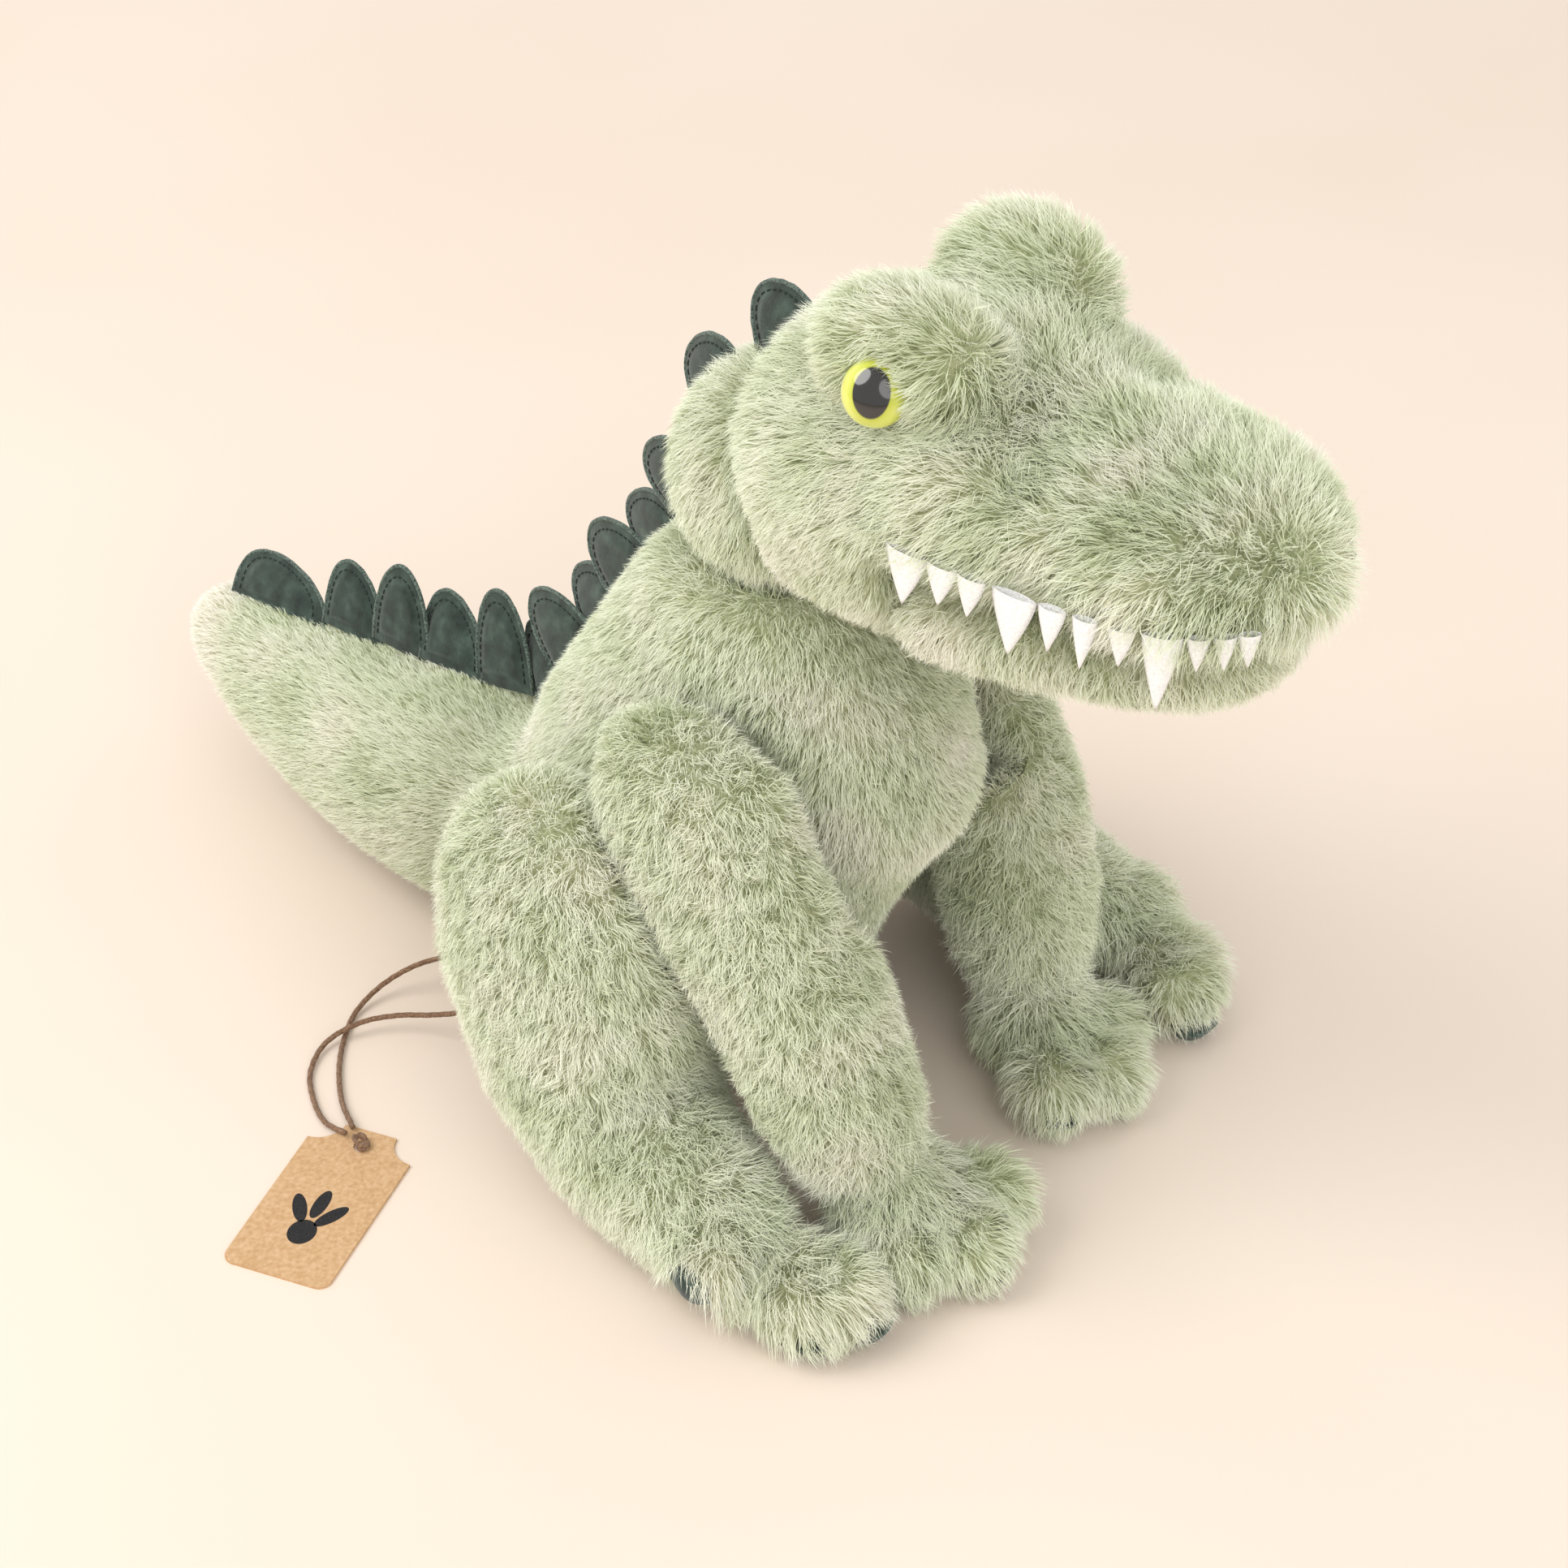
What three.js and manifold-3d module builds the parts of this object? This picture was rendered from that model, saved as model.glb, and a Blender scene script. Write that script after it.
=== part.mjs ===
// A seated stuffed dinosaur: plush covers over fibre fillings, suede back spikes and claws, felt teeth,
// plastic eyes, and a card tag on a twine loop. Millimetres, +Z up. The toy faces -Y, its right side is
// towards -X, and the origin lies on the floor under its seat, on its plane of symmetry.
import * as THREE from "three";
import { mergeVertices } from "three/addons/utils/BufferGeometryUtils.js";
import Module from "manifold-3d";

const wasm = await Module();
wasm.setup();

// ---------- driving dimensions ----------
const COVER_WALL = 4; // plush fabric and the dense foot of its pile
const FILLING_GAP = 0.6; // between a cover and the filling inside it
const SEAM_GAP = 0.4; // between two pieces that are sewn together
const MOVING_GAP = 1.2; // between two pieces that turn against each other
const LIMB_GAP = 3; // between a leg and the arm in front of it
const BURIED = 4; // how far a sewn-on piece starts inside the cover that it is trimmed to
const NECK_HEIGHT = 222; // from the seat to the joint that the head turns on
const FLANK = 51; // half width of the torso, where the limbs are sewn on

// The outlines below are drawn for these two sizes. A taller torso is stretched upwards and carries the
// head with it, and a wider one carries the limbs outwards.
const DRAWN = { neckHeight: 222, flank: 51 };
const HEAD_LIFT = NECK_HEIGHT - DRAWN.neckHeight;
const WIDENING = FLANK - DRAWN.flank;
const stretched = (z) => (z * NECK_HEIGHT) / DRAWN.neckHeight;
const lifted = (stations) => stations.map(([x, y, z, ...girth]) => [x, y, z + HEAD_LIFT, ...girth]);
const spreadOut = (stations) => stations.map(([x, ...rest]) => [x - WIDENING, ...rest]);
const fattened = (stations) =>
  stations.map(([x, y, z, width, depth]) => [x, y, stretched(z), width + WIDENING, depth]);

// A station of a swept body is [x, y, z, half width, half depth]. Right-hand limbs are given, at -X.
const TORSO = fattened([
  [0, 60, -44, 44, 66],
  [0, 61, 4, 47, 70],
  [0, 61, 40, 50, 68],
  [0, 47, 80, 52, 77],
  [0, 27, 120, 52, 79],
  [0, 20, 150, 50, 65],
  [0, 17, 180, 44, 47],
  [0, 14, 208, 38, 37],
  [0, 14, 250, 34, 34],
]);
const TAIL = [
  [0, 98, 50, 42, 44],
  [-3, 140, 45, 44, 43],
  [-5, 190, 41, 38, 39],
  [-4, 238, 42, 27, 29],
  [0, 274, 46, 20, 21],
  [3, 298, 49, 15, 15],
];
const HEAD = lifted([
  [0, 20, 238, 30, 30],
  [0, -4, 239, 46, 46],
  [0, -34, 242, 50, 50],
  [0, -66, 249, 48, 46],
  [0, -100, 252, 43, 33],
  [0, -134, 246, 40, 28],
  [0, -161, 245, 28, 19],
]);
const JAW = lifted([
  [0, 2, 226, 34, 22],
  [0, -30, 221, 44, 27],
  [0, -76, 223, 42, 22],
  [0, -110, 225, 36, 19],
  [0, -138, 230, 28, 15],
  [0, -154, 235, 17, 9],
]);
const BROW = lifted([
  [-25, -22, 286, 12, 13],
  [-27, -38, 292, 17, 18],
  [-28, -58, 294, 17, 18],
  [-29, -74, 289, 11, 12],
]);
const ARM = spreadOut([
  [-54, 8, 172, 20, 24],
  [-57, 3, 148, 26, 36],
  [-59, -15, 122, 26, 33],
  [-60, -37, 94, 25, 27],
  [-57, -50, 58, 24, 25],
  [-50, -60, 24, 22, 20],
]);
const LEG = spreadOut([
  [-75, 46, 140, 19, 30],
  [-78, 40, 106, 27, 45],
  [-81, 31, 66, 30, 50],
  [-88, 6, 33, 28, 36],
  [-94, -28, 23, 22, 23],
  [-97, -54, 16, 20, 15],
]);
const BEAN_BAG = { centre: [0, 35, 20], size: [56, 38, 24] };

// Three digits of each limb, as [x, y, z] of the tip, and the radius of the plump digit.
const DIGIT_RADIUS = 11;
const [PALM] = spreadOut([[-49, -66, 19]]);
const PALM_RADIUS = 19;
const LEFT_ARM_SHIFT = [-6, 13, 0]; // the left arm stands further back than the right one
const FINGERS = spreadOut([
  [-63, -82, 12],
  [-47, -96, 12],
  [-28, -89, 15],
]);
const [SOLE] = spreadOut([[-95, -50, 18]]);
const TOES = spreadOut([
  [-106, -46, 18],
  [-98, -72, 12],
  [-87, -80, 12],
]);
const FINGER_CLAW = { length: 17, width: 11, depth: 8, droop: 5, sunk: 8 };
const TOE_CLAW = { length: 20, width: 14, depth: 9, droop: 4, sunk: 7 };

// Joints.
const NECK = [0, 13, NECK_HEIGHT];
const NECK_BALL = 34; // radius of the filling ball that the head turns on
const NECK_GAP = 2.5; // between that ball and the covers round it
const TORSO_CONE = 54; // degrees off straight down, below which the torso stays
const HEAD_CONE = 70; // degrees off straight down, above which the head stays
const SHOULDER = [0, 2, 148];
const SHOULDER_DISC = 65; // radius round the shoulder where the arm lies flat against the torso
const TAIL_ROOT = [0, 108, 48];
const TAIL_RADIUS = 44; // radius round the tail joint that the tail's root turns in

// Mouth and teeth.
const LIP_HEIGHT = NECK_HEIGHT + 25;
const LIP_SLOT = 3.6; // opening between the snout and the jaw, where the felt is sewn in
const MOUTH_CORNER = -52; // y of the rear end of the slot
const FELT = 2;
const LIP_TURNING = 6; // width of the felt strip inside the slot
const LIP_STEPS = 12;
const LIP_LINE = [
  [-47.5, -60],
  [-47.5, -84],
  [-46.5, -108],
  [-43, -130],
  [-35, -146],
  [-24, -157],
];
const TEETH = [
  // [place along the lip, width, length]
  [0.04, 12, 13],
  [0.15, 9, 9],
  [0.24, 8, 9],
  [0.36, 12, 15],
  [0.47, 7, 10],
  [0.56, 6, 12],
  [0.65, 6, 8],
  [0.76, 9, 19],
  [0.85, 5, 7],
  [0.92, 5, 7],
  [0.98, 5, 7],
];

// Eyes: a domed plastic button, held from behind by a washer.
const EYE = { place: [-42, -48, NECK_HEIGHT + 67], aim: [-0.8, -0.36, 0.46], radius: 9, height: 6 };
const EYE_STEM = { radius: 2.4, length: 12 };
const EYE_WASHER = { radius: 7, thickness: 2, depth: 8.5 };

// Back spikes: [carrier, y, z, degrees above +Y of the way it points, base length, height, lean sideways].
const SPIKE_THICKNESS = 3.6;
const SPIKE_HEIGHTS = {
  head: (z) => z + HEAD_LIFT,
  neck: (z) => z + HEAD_LIFT,
  torso: stretched,
  tail: (z) => z,
};
const SPIKES = [
  ["head", 15, 262, 52, 24, 15, 14],
  ["neck", 42, 238, 28, 24, 15, 16],
  ["neck", 46, 216, -8, 18, 14, 20],
  ["torso", 55, 197, 14, 20, 15, 10],
  ["torso", 64, 174, 20, 20, 15, 16],
  ["torso", 76, 152, 28, 24, 18, 10],
  ["torso", 89, 131, 32, 22, 17, 20],
  ["torso", 104, 111, 38, 24, 18, 8],
  ["torso", 115, 95, 50, 18, 17, 20],
  ["tail", 139, 87, 76, 22, 24, 12],
  ["tail", 164, 83, 84, 25, 18, 20],
  ["tail", 189, 79, 90, 22, 22, 8],
  ["tail", 213, 75, 88, 24, 17, 18],
  ["tail", 251, 69, 84, 40, 12, 32],
];

// Hang tag, lying on the floor, and its loop of twine.
const TAG = {
  width: 36,
  length: 66,
  thickness: 0.9,
  shoulder: 9, // radius of the scoop out of each corner beside the hole
  corner: 4, // radius of the far corners
  hole: 2.6,
  holeInset: 7,
  centre: [-152, 77],
  turn: 19,
};
const TWINE = 1.9;
const TWINE_SIDES = 8;
const TWINE_STEPS = 26;
const TAG_HOLE_SIDES = 12;
const TAG_CURVE_STEPS = 5;
const TWINE_ROUTES = {
  twine_strand_1: [
    [-41.5, 95, 17],
    [-47, 103, 18],
    [-53, 113, 16],
    [-62, 125, 11],
    [-73, 132, 5],
    [-85, 132, 1.6],
    [-96, 126, 1.2],
    [-107, 117, 1.2],
    [-118, 104, 1.6],
    [-124.6, 92, 2.8],
  ],
  twine_strand_2: [
    [-43.5, 91, 13],
    [-52, 91, 15],
    [-62, 91, 15],
    [-70, 95, 13],
    [-75, 105, 9],
    [-81, 116, 6.5],
    [-90, 124, 5],
    [-102, 128, 2.4],
    [-114, 123, 1.2],
    [-123, 112, 1.2],
    [-128, 101, 1.8],
    [-127.8, 92, 2.8],
  ],
};
const KNOT = { length: 9, width: 6, depth: 3.4, turn: 75 };

// Openings left in the covers, inside the seams.
const SEAM_OPENING = 12; // radius
const SEAM_REACH = 12; // how far an opening goes through a cover
const HEAD_OPENING = NECK_BALL + SEAM_REACH; // from the neck joint, through the wall in front of it
const TORSO_OPENING = HEAD_OPENING + COVER_WALL; // the same, through the wall below it
const JAW_OPENING = 10; // radius

// Facets round and along a body, on its outside and on the surfaces hidden inside it.
const COVER_MESH = [12, 10];
const LINING_MESH = [8, 7];
const SMALL_FACETS = 8;
const ROUND_FACETS = 16;

// ---------- solids ----------
const vector = ([x, y, z]) => new THREE.Vector3(x, y, z);
const along = ([x, y, z], [dx, dy, dz]) => vector([x + dx, y + dy, z + dz]);
const radians = THREE.MathUtils.degToRad;

function toSolid(geometry) {
  const bare = geometry.index ? geometry.toNonIndexed() : geometry.clone();
  bare.deleteAttribute("normal");
  bare.deleteAttribute("uv");
  const merged = mergeVertices(bare, 1e-3);
  return new wasm.Manifold(
    new wasm.Mesh({
      numProp: 3,
      vertProperties: merged.attributes.position.array,
      triVerts: new Uint32Array(merged.index.array),
    }),
  );
}

function toGeometry(solid) {
  const mesh = solid.getMesh();
  const geometry = new THREE.BufferGeometry();
  geometry.setAttribute("position", new THREE.BufferAttribute(mesh.vertProperties, 3));
  geometry.setIndex(new THREE.BufferAttribute(mesh.triVerts, 1));
  return geometry;
}

const joined = (solids) => solids.reduce((whole, solid) => whole.add(solid));
const without = (solid, cutters) => cutters.reduce((rest, cutter) => rest.subtract(cutter), solid);

function box(low, high) {
  const size = vector(high).sub(vector(low));
  const geometry = new THREE.BoxGeometry(size.x, size.y, size.z);
  const centre = vector(low).addScaledVector(size, 0.5);
  return toSolid(geometry.translate(centre.x, centre.y, centre.z));
}

function ball(centre, radius, around = ROUND_FACETS) {
  return toSolid(new THREE.SphereGeometry(radius, around, around / 2).translate(...centre));
}

// An ellipsoid with its long axis along a direction and its flat side up and down.
function bean(centre, direction, [length, width, depth], around = SMALL_FACETS) {
  const geometry = new THREE.SphereGeometry(0.5, around, around / 2).scale(length, width, depth);
  const along = direction.clone().normalize();
  const across = new THREE.Vector3(0, 0, 1).cross(along).normalize();
  const up = new THREE.Vector3().crossVectors(along, across);
  geometry.applyMatrix4(new THREE.Matrix4().makeBasis(along, across, up));
  return toSolid(geometry.translate(centre.x, centre.y, centre.z));
}

// The corners of a regular polygon round a centre in the plane.
function circle(radius, sides, [x, y]) {
  return Array.from({ length: sides }, (_, i) => {
    const angle = (i / sides) * 2 * Math.PI;
    return new THREE.Vector2(x + radius * Math.cos(angle), y + radius * Math.sin(angle));
  });
}

// A cylinder between two points.
function rod(from, to, radius, around = ROUND_FACETS) {
  const along = to.clone().sub(from);
  const geometry = new THREE.CylinderGeometry(radius, radius, along.length(), around);
  const turn = new THREE.Quaternion().setFromUnitVectors(new THREE.Vector3(0, 1, 0), along.clone().normalize());
  const centre = from.clone().addScaledVector(along, 0.5);
  return toSolid(geometry.applyQuaternion(turn).translate(centre.x, centre.y, centre.z));
}

// A round-ended body along a smooth spine, its surface moved inwards by inset.
const SIDE = new THREE.Vector3(1, 0, 0);
const UPWARDS = new THREE.Vector3(0, 0, 1);
const ALONG_SPINE = null;
const CAP = 0.17; // share of the spine over which each end rounds off

function sweptBody(stations, inset = 0, facing = ALONG_SPINE) {
  const spine = new THREE.CatmullRomCurve3(stations.map(vector));
  const girth = new THREE.CatmullRomCurve3(stations.map(([, , , width, depth]) => vector([width, depth, 0])));
  const [around, steps] = inset > 0 ? LINING_MESH : COVER_MESH;
  const geometry = new THREE.SphereGeometry(1, around, steps);
  const place = geometry.attributes.position;
  const unit = new THREE.Vector3();
  const trim = inset / spine.getLength();
  for (let i = 0; i < place.count; i++) {
    unit.fromBufferAttribute(place, i);
    const share = (1 - unit.y) / 2;
    const nearEnd = Math.min(1, Math.min(share, 1 - share) / CAP);
    const rounding = Math.sqrt(Math.max(0, 1 - (1 - nearEnd) ** 2));
    const at = THREE.MathUtils.clamp(trim + share * (1 - 2 * trim), 0, 1);
    const tangent = facing ?? spine.getTangent(at);
    const side = SIDE.clone().addScaledVector(tangent, -SIDE.dot(tangent)).normalize();
    const up = new THREE.Vector3().crossVectors(tangent, side);
    const half = girth.getPoint(at);
    const turn = Math.atan2(unit.z, unit.x);
    const point = spine.getPoint(at);
    point.addScaledVector(side, Math.cos(turn) * rounding * (half.x - inset));
    point.addScaledVector(up, Math.sin(turn) * rounding * (half.y - inset));
    place.setXYZ(i, point.x, point.y, point.z);
  }
  return toSolid(geometry);
}

// Everything below or above a level plane.
const FAR = 400;
const below = (z) => box([-FAR, -FAR, z - FAR], [FAR, FAR, z]);
const above = (z) => box([-FAR, -FAR, z], [FAR, FAR, z + FAR]);

// A cone that opens downwards from the neck joint, to an angle off straight down.
function neckCone(angle, drop) {
  const [x, y, z] = NECK;
  const geometry = new THREE.ConeGeometry(FAR * Math.tan(radians(angle)), FAR, 28);
  return toSolid(geometry.rotateX(Math.PI / 2).translate(x, y, z - drop - FAR / 2));
}

// ---------- the outer shape of each body; inset moves its surface inwards ----------
const bySide = (side, [x, y, z]) => [side === "r" ? x : -x, y, z];
const sideStations = (side, stations) => stations.map((station) => [
  ...bySide(side, station),
  ...station.slice(3),
]);

function shifted(solid, [x, y, z]) {
  return toSolid(toGeometry(solid).translate(x, y, z));
}

function digits(side, root, tips, inset) {
  const from = vector(bySide(side, root));
  return tips.map((tip) => {
    const to = vector(bySide(side, tip));
    const along = to.clone().sub(from);
    const reach = along.length() + DIGIT_RADIUS - inset;
    const centre = from.clone().addScaledVector(along.normalize(), reach / 2);
    const girth = 2 * (DIGIT_RADIUS - inset);
    return bean(centre, along, [reach, girth, girth]);
  });
}

const armShift = (side) => (side === "r" ? [0, 0, 0] : LEFT_ARM_SHIFT);

const shoulder = (side) => along(SHOULDER, armShift(side)).toArray();

function upperArm(side, inset) {
  return shifted(sweptBody(sideStations(side, ARM), inset), armShift(side));
}

// The arm ends in a flat disc against the torso; the left one is moved back by its shift.
// Its hollow stops at the wrist, because the paw and its digits are firm.
function armShape(side, inset = 0) {
  const palm = ball(bySide(side, PALM), PALM_RADIUS, SMALL_FACETS);
  const paw = shifted(joined([palm, ...digits(side, PALM, FINGERS, inset)]), armShift(side));
  const arm = inset > 0 ? upperArm(side, inset) : upperArm(side, inset).add(paw);
  const reach = FLANK + inset;
  const [, y, z] = shoulder(side);
  const disc = rod(vector([-reach, y, z]), vector([reach, y, z]), SHOULDER_DISC + inset);
  return without(arm, [disc, below(inset)]);
}

function legShape(side, inset = 0) {
  const thigh = sweptBody(sideStations(side, LEG), inset);
  const leg = inset > 0 ? thigh : joined([thigh, ...digits(side, SOLE, TOES, inset)]);
  const flank = FLANK + inset;
  const between = box([-flank, -FAR, -FAR], [flank, FAR, FAR]);
  return without(leg, [between, upperArm(side, -LIMB_GAP - inset), below(inset)]);
}

// In front of its joint the tail's root is round, so that it turns inside the rump.
function tailShape(inset = 0) {
  const [x, y] = TAIL_ROOT;
  const root = rod(vector([x, y, -FAR]), vector([x, y, FAR]), TAIL_RADIUS - inset);
  const room = root.add(box([-FAR, y, -FAR], [FAR, FAR, FAR]));
  return sweptBody(TAIL, inset).intersect(room).subtract(below(inset));
}

function torsoShape(inset = 0) {
  const gap = MOVING_GAP + inset;
  const flank = FLANK - gap;
  const kept = neckCone(TORSO_CONE, inset / Math.sin(radians(TORSO_CONE)));
  const slab = box([-flank, -FAR, inset], [flank, FAR, FAR]);
  const [x, y] = TAIL_ROOT;
  const roof = TAIL[0][2] + TAIL[0][4] + gap;
  const tailRoom = rod(vector([x, y, -FAR]), vector([x, y, roof]), TAIL_RADIUS + gap);
  return without(sweptBody(TORSO, inset, UPWARDS).intersect(kept).intersect(slab), [
    ball(NECK, NECK_BALL + NECK_GAP + inset),
    tailRoom,
    box([-FAR, y - inset, -FAR], [FAR, FAR, roof]),
    upperArm("r", -gap),
    upperArm("l", -gap),
  ]);
}

// The jaw is sewn to the front of the cheeks, and the snout overhangs it across the lip slot.
function jawShape(inset = 0) {
  return without(sweptBody(JAW, inset), [
    above(LIP_HEIGHT - LIP_SLOT / 2 - inset),
    box([-FAR, MOUTH_CORNER - SEAM_GAP - inset, -FAR], [FAR, FAR, FAR]),
    neckCone(HEAD_CONE, -inset),
  ]);
}

function headShape(inset = 0) {
  const lip = LIP_HEIGHT + LIP_SLOT / 2 + inset;
  return without(sweptBody(HEAD, inset), [
    box([-FAR, -FAR, -FAR], [FAR, MOUTH_CORNER + inset, lip]),
    ball(NECK, NECK_BALL + NECK_GAP + inset),
    neckCone(HEAD_CONE, -inset),
  ]);
}

const neckShape = (inset = 0) => ball(NECK, NECK_BALL - inset);
const CARRIERS = { head: headShape, neck: neckShape, torso: torsoShape, tail: tailShape };
const neckRoom = ball(NECK, NECK_BALL + NECK_GAP);
const trimmers = Object.fromEntries(
  Object.entries(CARRIERS).map(([name, shape]) => [name, shape(-SEAM_GAP)]),
);

// ---------- pieces ----------
const part = new THREE.Group();

function add(name, solid, colour, roughness) {
  const material = new THREE.MeshStandardMaterial({ color: colour, roughness, metalness: 0 });
  const mesh = new THREE.Mesh(toGeometry(solid), material);
  mesh.name = name;
  part.add(mesh);
}

const PLUSH = "#b5bf9f";
const WADDING = "#f2f0ea";
const SUEDE = "#3d4f48";
const WHITE_FELT = "#f4f4f0";
const IRIS = "#dfe070";
const CLEAR_NYLON = "#e8e8e4";
const CALICO = "#d8cdb4";
const KRAFT = "#c9a678";
const JUTE = "#8c6e55";

// A sewn cover with its filling. The cover is open at the seam where it meets its neighbour.
function addStuffed(name, shape, opening, pockets = []) {
  add(name + "_cover", without(shape(0), [shape(COVER_WALL), opening]), PLUSH, 0.95);
  add(name + "_filling", without(shape(COVER_WALL + FILLING_GAP), pockets), WADDING, 1);
}

// The bean bag lies in a pocket of the filling that is open underneath.
function addTorso() {
  const { centre, size } = BEAN_BAG;
  const [width, depth] = size;
  const [x, y, z] = centre;
  const room = bean(vector(centre), SIDE, size.map((length) => length + 2 * FILLING_GAP));
  const mouth = box([x - width / 4, y - depth / 4, -FAR], [x + width / 4, y + depth / 4, z]);
  const opening = rod(vector(NECK), along(NECK, [0, 0, -TORSO_OPENING]), SEAM_OPENING);
  addStuffed("torso", torsoShape, opening, [room, mouth]);
  add("bean_bag", bean(vector(centre), SIDE, size), CALICO, 0.9);
}

function addHead() {
  const opening = rod(vector(NECK), along(NECK, [0, -HEAD_OPENING, 0]), SEAM_OPENING);
  addStuffed("head", headShape, opening);
  const seam = [0, MOUTH_CORNER, JAW[1][2]];
  const inside = along(seam, [0, -SEAM_REACH, 0]);
  addStuffed("jaw", jawShape, rod(vector(seam), inside, JAW_OPENING));
  add("neck_filling", neckShape(), WADDING, 1);
}

function addTail() {
  const opening = rod(vector(TAIL_ROOT), along(TAIL_ROOT, [0, -2 * TAIL_RADIUS, 0]), SEAM_OPENING);
  addStuffed("tail", tailShape, opening);
}

function addArm(side) {
  const [, y, z] = shoulder(side);
  const seam = bySide(side, [-FLANK, y, z]);
  const shift = bySide(side, [-SEAM_REACH, 0, 0]);
  const opening = rod(vector(seam), along(seam, shift), SEAM_OPENING);
  addStuffed("arm_" + side, (inset) => armShape(side, inset), opening);
  const trimmer = armShape(side, -SEAM_GAP);
  addClaws("finger_claw_" + side, FINGER_CLAW, side, PALM, FINGERS, trimmer, armShift(side));
}

function addLeg(side) {
  const [, y, z] = LEG[1];
  const seam = bySide(side, [-FLANK, y, z]);
  const shift = bySide(side, [-SEAM_REACH, 0, 0]);
  const opening = rod(vector(seam), along(seam, shift), SEAM_OPENING);
  addStuffed("leg_" + side, (inset) => legShape(side, inset), opening);
  addClaws("toe_claw_" + side, TOE_CLAW, side, SOLE, TOES, legShape(side, -SEAM_GAP), [0, 0, 0]);
}

// A flat padded claw at the tip of each digit, drooping towards the floor.
function addClaws(name, size, side, root, tips, limb, shift) {
  tips.forEach((tip, i) => {
    const from = along(bySide(side, root), shift);
    const end = along(bySide(side, tip), shift);
    const direction = end.clone().sub(from).normalize();
    const centre = end.clone().addScaledVector(direction, DIGIT_RADIUS - size.sunk);
    centre.z = Math.max(centre.z - size.droop, size.depth / 2 + SEAM_GAP);
    const claw = bean(centre, direction, [size.length, size.width, size.depth]);
    add(name + (i + 1), without(claw, [limb, below(0)]), SUEDE, 0.9);
  });
}

// The domed eye sits in a socket in the brow pad; its stem goes through a washer in the padding.
function addBrow(side) {
  const base = vector(bySide(side, EYE.place));
  const aim = vector(bySide(side, EYE.aim)).normalize();
  const reach = (distance) => base.clone().addScaledVector(aim, distance);
  const dome = bean(base, aim, [2 * EYE.height, 2 * EYE.radius, 2 * EYE.radius], ROUND_FACETS);
  const front = rod(reach(0), reach(FAR), 2 * EYE.radius);
  const stem = rod(reach(-EYE_STEM.length), reach(EYE.height / 2), EYE_STEM.radius, SMALL_FACETS);
  const bore = rod(reach(-EYE_STEM.length - SEAM_GAP), reach(0), EYE_STEM.radius + SEAM_GAP, SMALL_FACETS);
  const washerEnds = [reach(-EYE_WASHER.depth), reach(-EYE_WASHER.depth - EYE_WASHER.thickness)];
  const washer = rod(...washerEnds, EYE_WASHER.radius).subtract(bore);
  const pocketEnds = [
    reach(SEAM_GAP - EYE_WASHER.depth),
    reach(-SEAM_GAP - EYE_WASHER.depth - EYE_WASHER.thickness),
  ];
  const pocket = rod(...pocketEnds, EYE_WASHER.radius + SEAM_GAP);
  const socket = rod(reach(-SEAM_GAP), reach(FAR), EYE.radius + SEAM_GAP);
  const head = sweptBody(HEAD, -SEAM_GAP);
  const pad = sweptBody(sideStations(side, BROW));
  add("brow_" + side, without(pad, [head, socket, bore, pocket]), PLUSH, 0.95);
  add("eye_" + side, dome.intersect(front).add(stem), IRIS, 0.15);
  add("eye_washer_" + side, washer, CLEAR_NYLON, 0.4);
}

// A felt strip sewn into the lip, with its teeth turned down over the jaw.
function addTeeth(side) {
  const inwards = side === "r" ? 1 : -1;
  const lip = new THREE.SplineCurve(LIP_LINE.map(([x, y]) => new THREE.Vector2(inwards * x, y)));
  const inner = lip.getPoints(LIP_STEPS).map((point, i) => {
    const tangent = lip.getTangent(i / LIP_STEPS).multiplyScalar(inwards * LIP_TURNING);
    return new THREE.Vector2(point.x - tangent.y, point.y + tangent.x);
  });
  const outline = new THREE.Shape([...lip.getPoints(LIP_STEPS), ...inner.reverse()]);
  const tape = new THREE.ExtrudeGeometry(outline, { depth: FELT, bevelEnabled: false });
  const top = LIP_HEIGHT + FELT / 2;
  const strip = toSolid(tape.translate(0, 0, top - FELT));
  const teeth = TEETH.map(([share, width, length]) => {
    const tooth = new THREE.Shape([
      new THREE.Vector2(-width / 2, 0),
      new THREE.Vector2(-width / 2, -FELT),
      new THREE.Vector2(0, -length),
      new THREE.Vector2(width / 2, -FELT),
      new THREE.Vector2(width / 2, 0),
    ]);
    const plate = new THREE.ExtrudeGeometry(tooth, { depth: FELT, bevelEnabled: false });
    const at = lip.getPointAt(share);
    const tangent = lip.getTangentAt(share);
    const across = new THREE.Vector3(tangent.x, tangent.y, 0);
    const normal = new THREE.Vector3().crossVectors(across, UPWARDS);
    plate.translate(0, 0, -FELT / 2);
    plate.applyMatrix4(new THREE.Matrix4().makeBasis(across, UPWARDS, normal));
    return toSolid(plate.translate(at.x, at.y, top));
  });
  add("teeth_" + side, joined([strip, ...teeth]).subtract(jawShape(-SEAM_GAP)), WHITE_FELT, 0.95);
}

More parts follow.
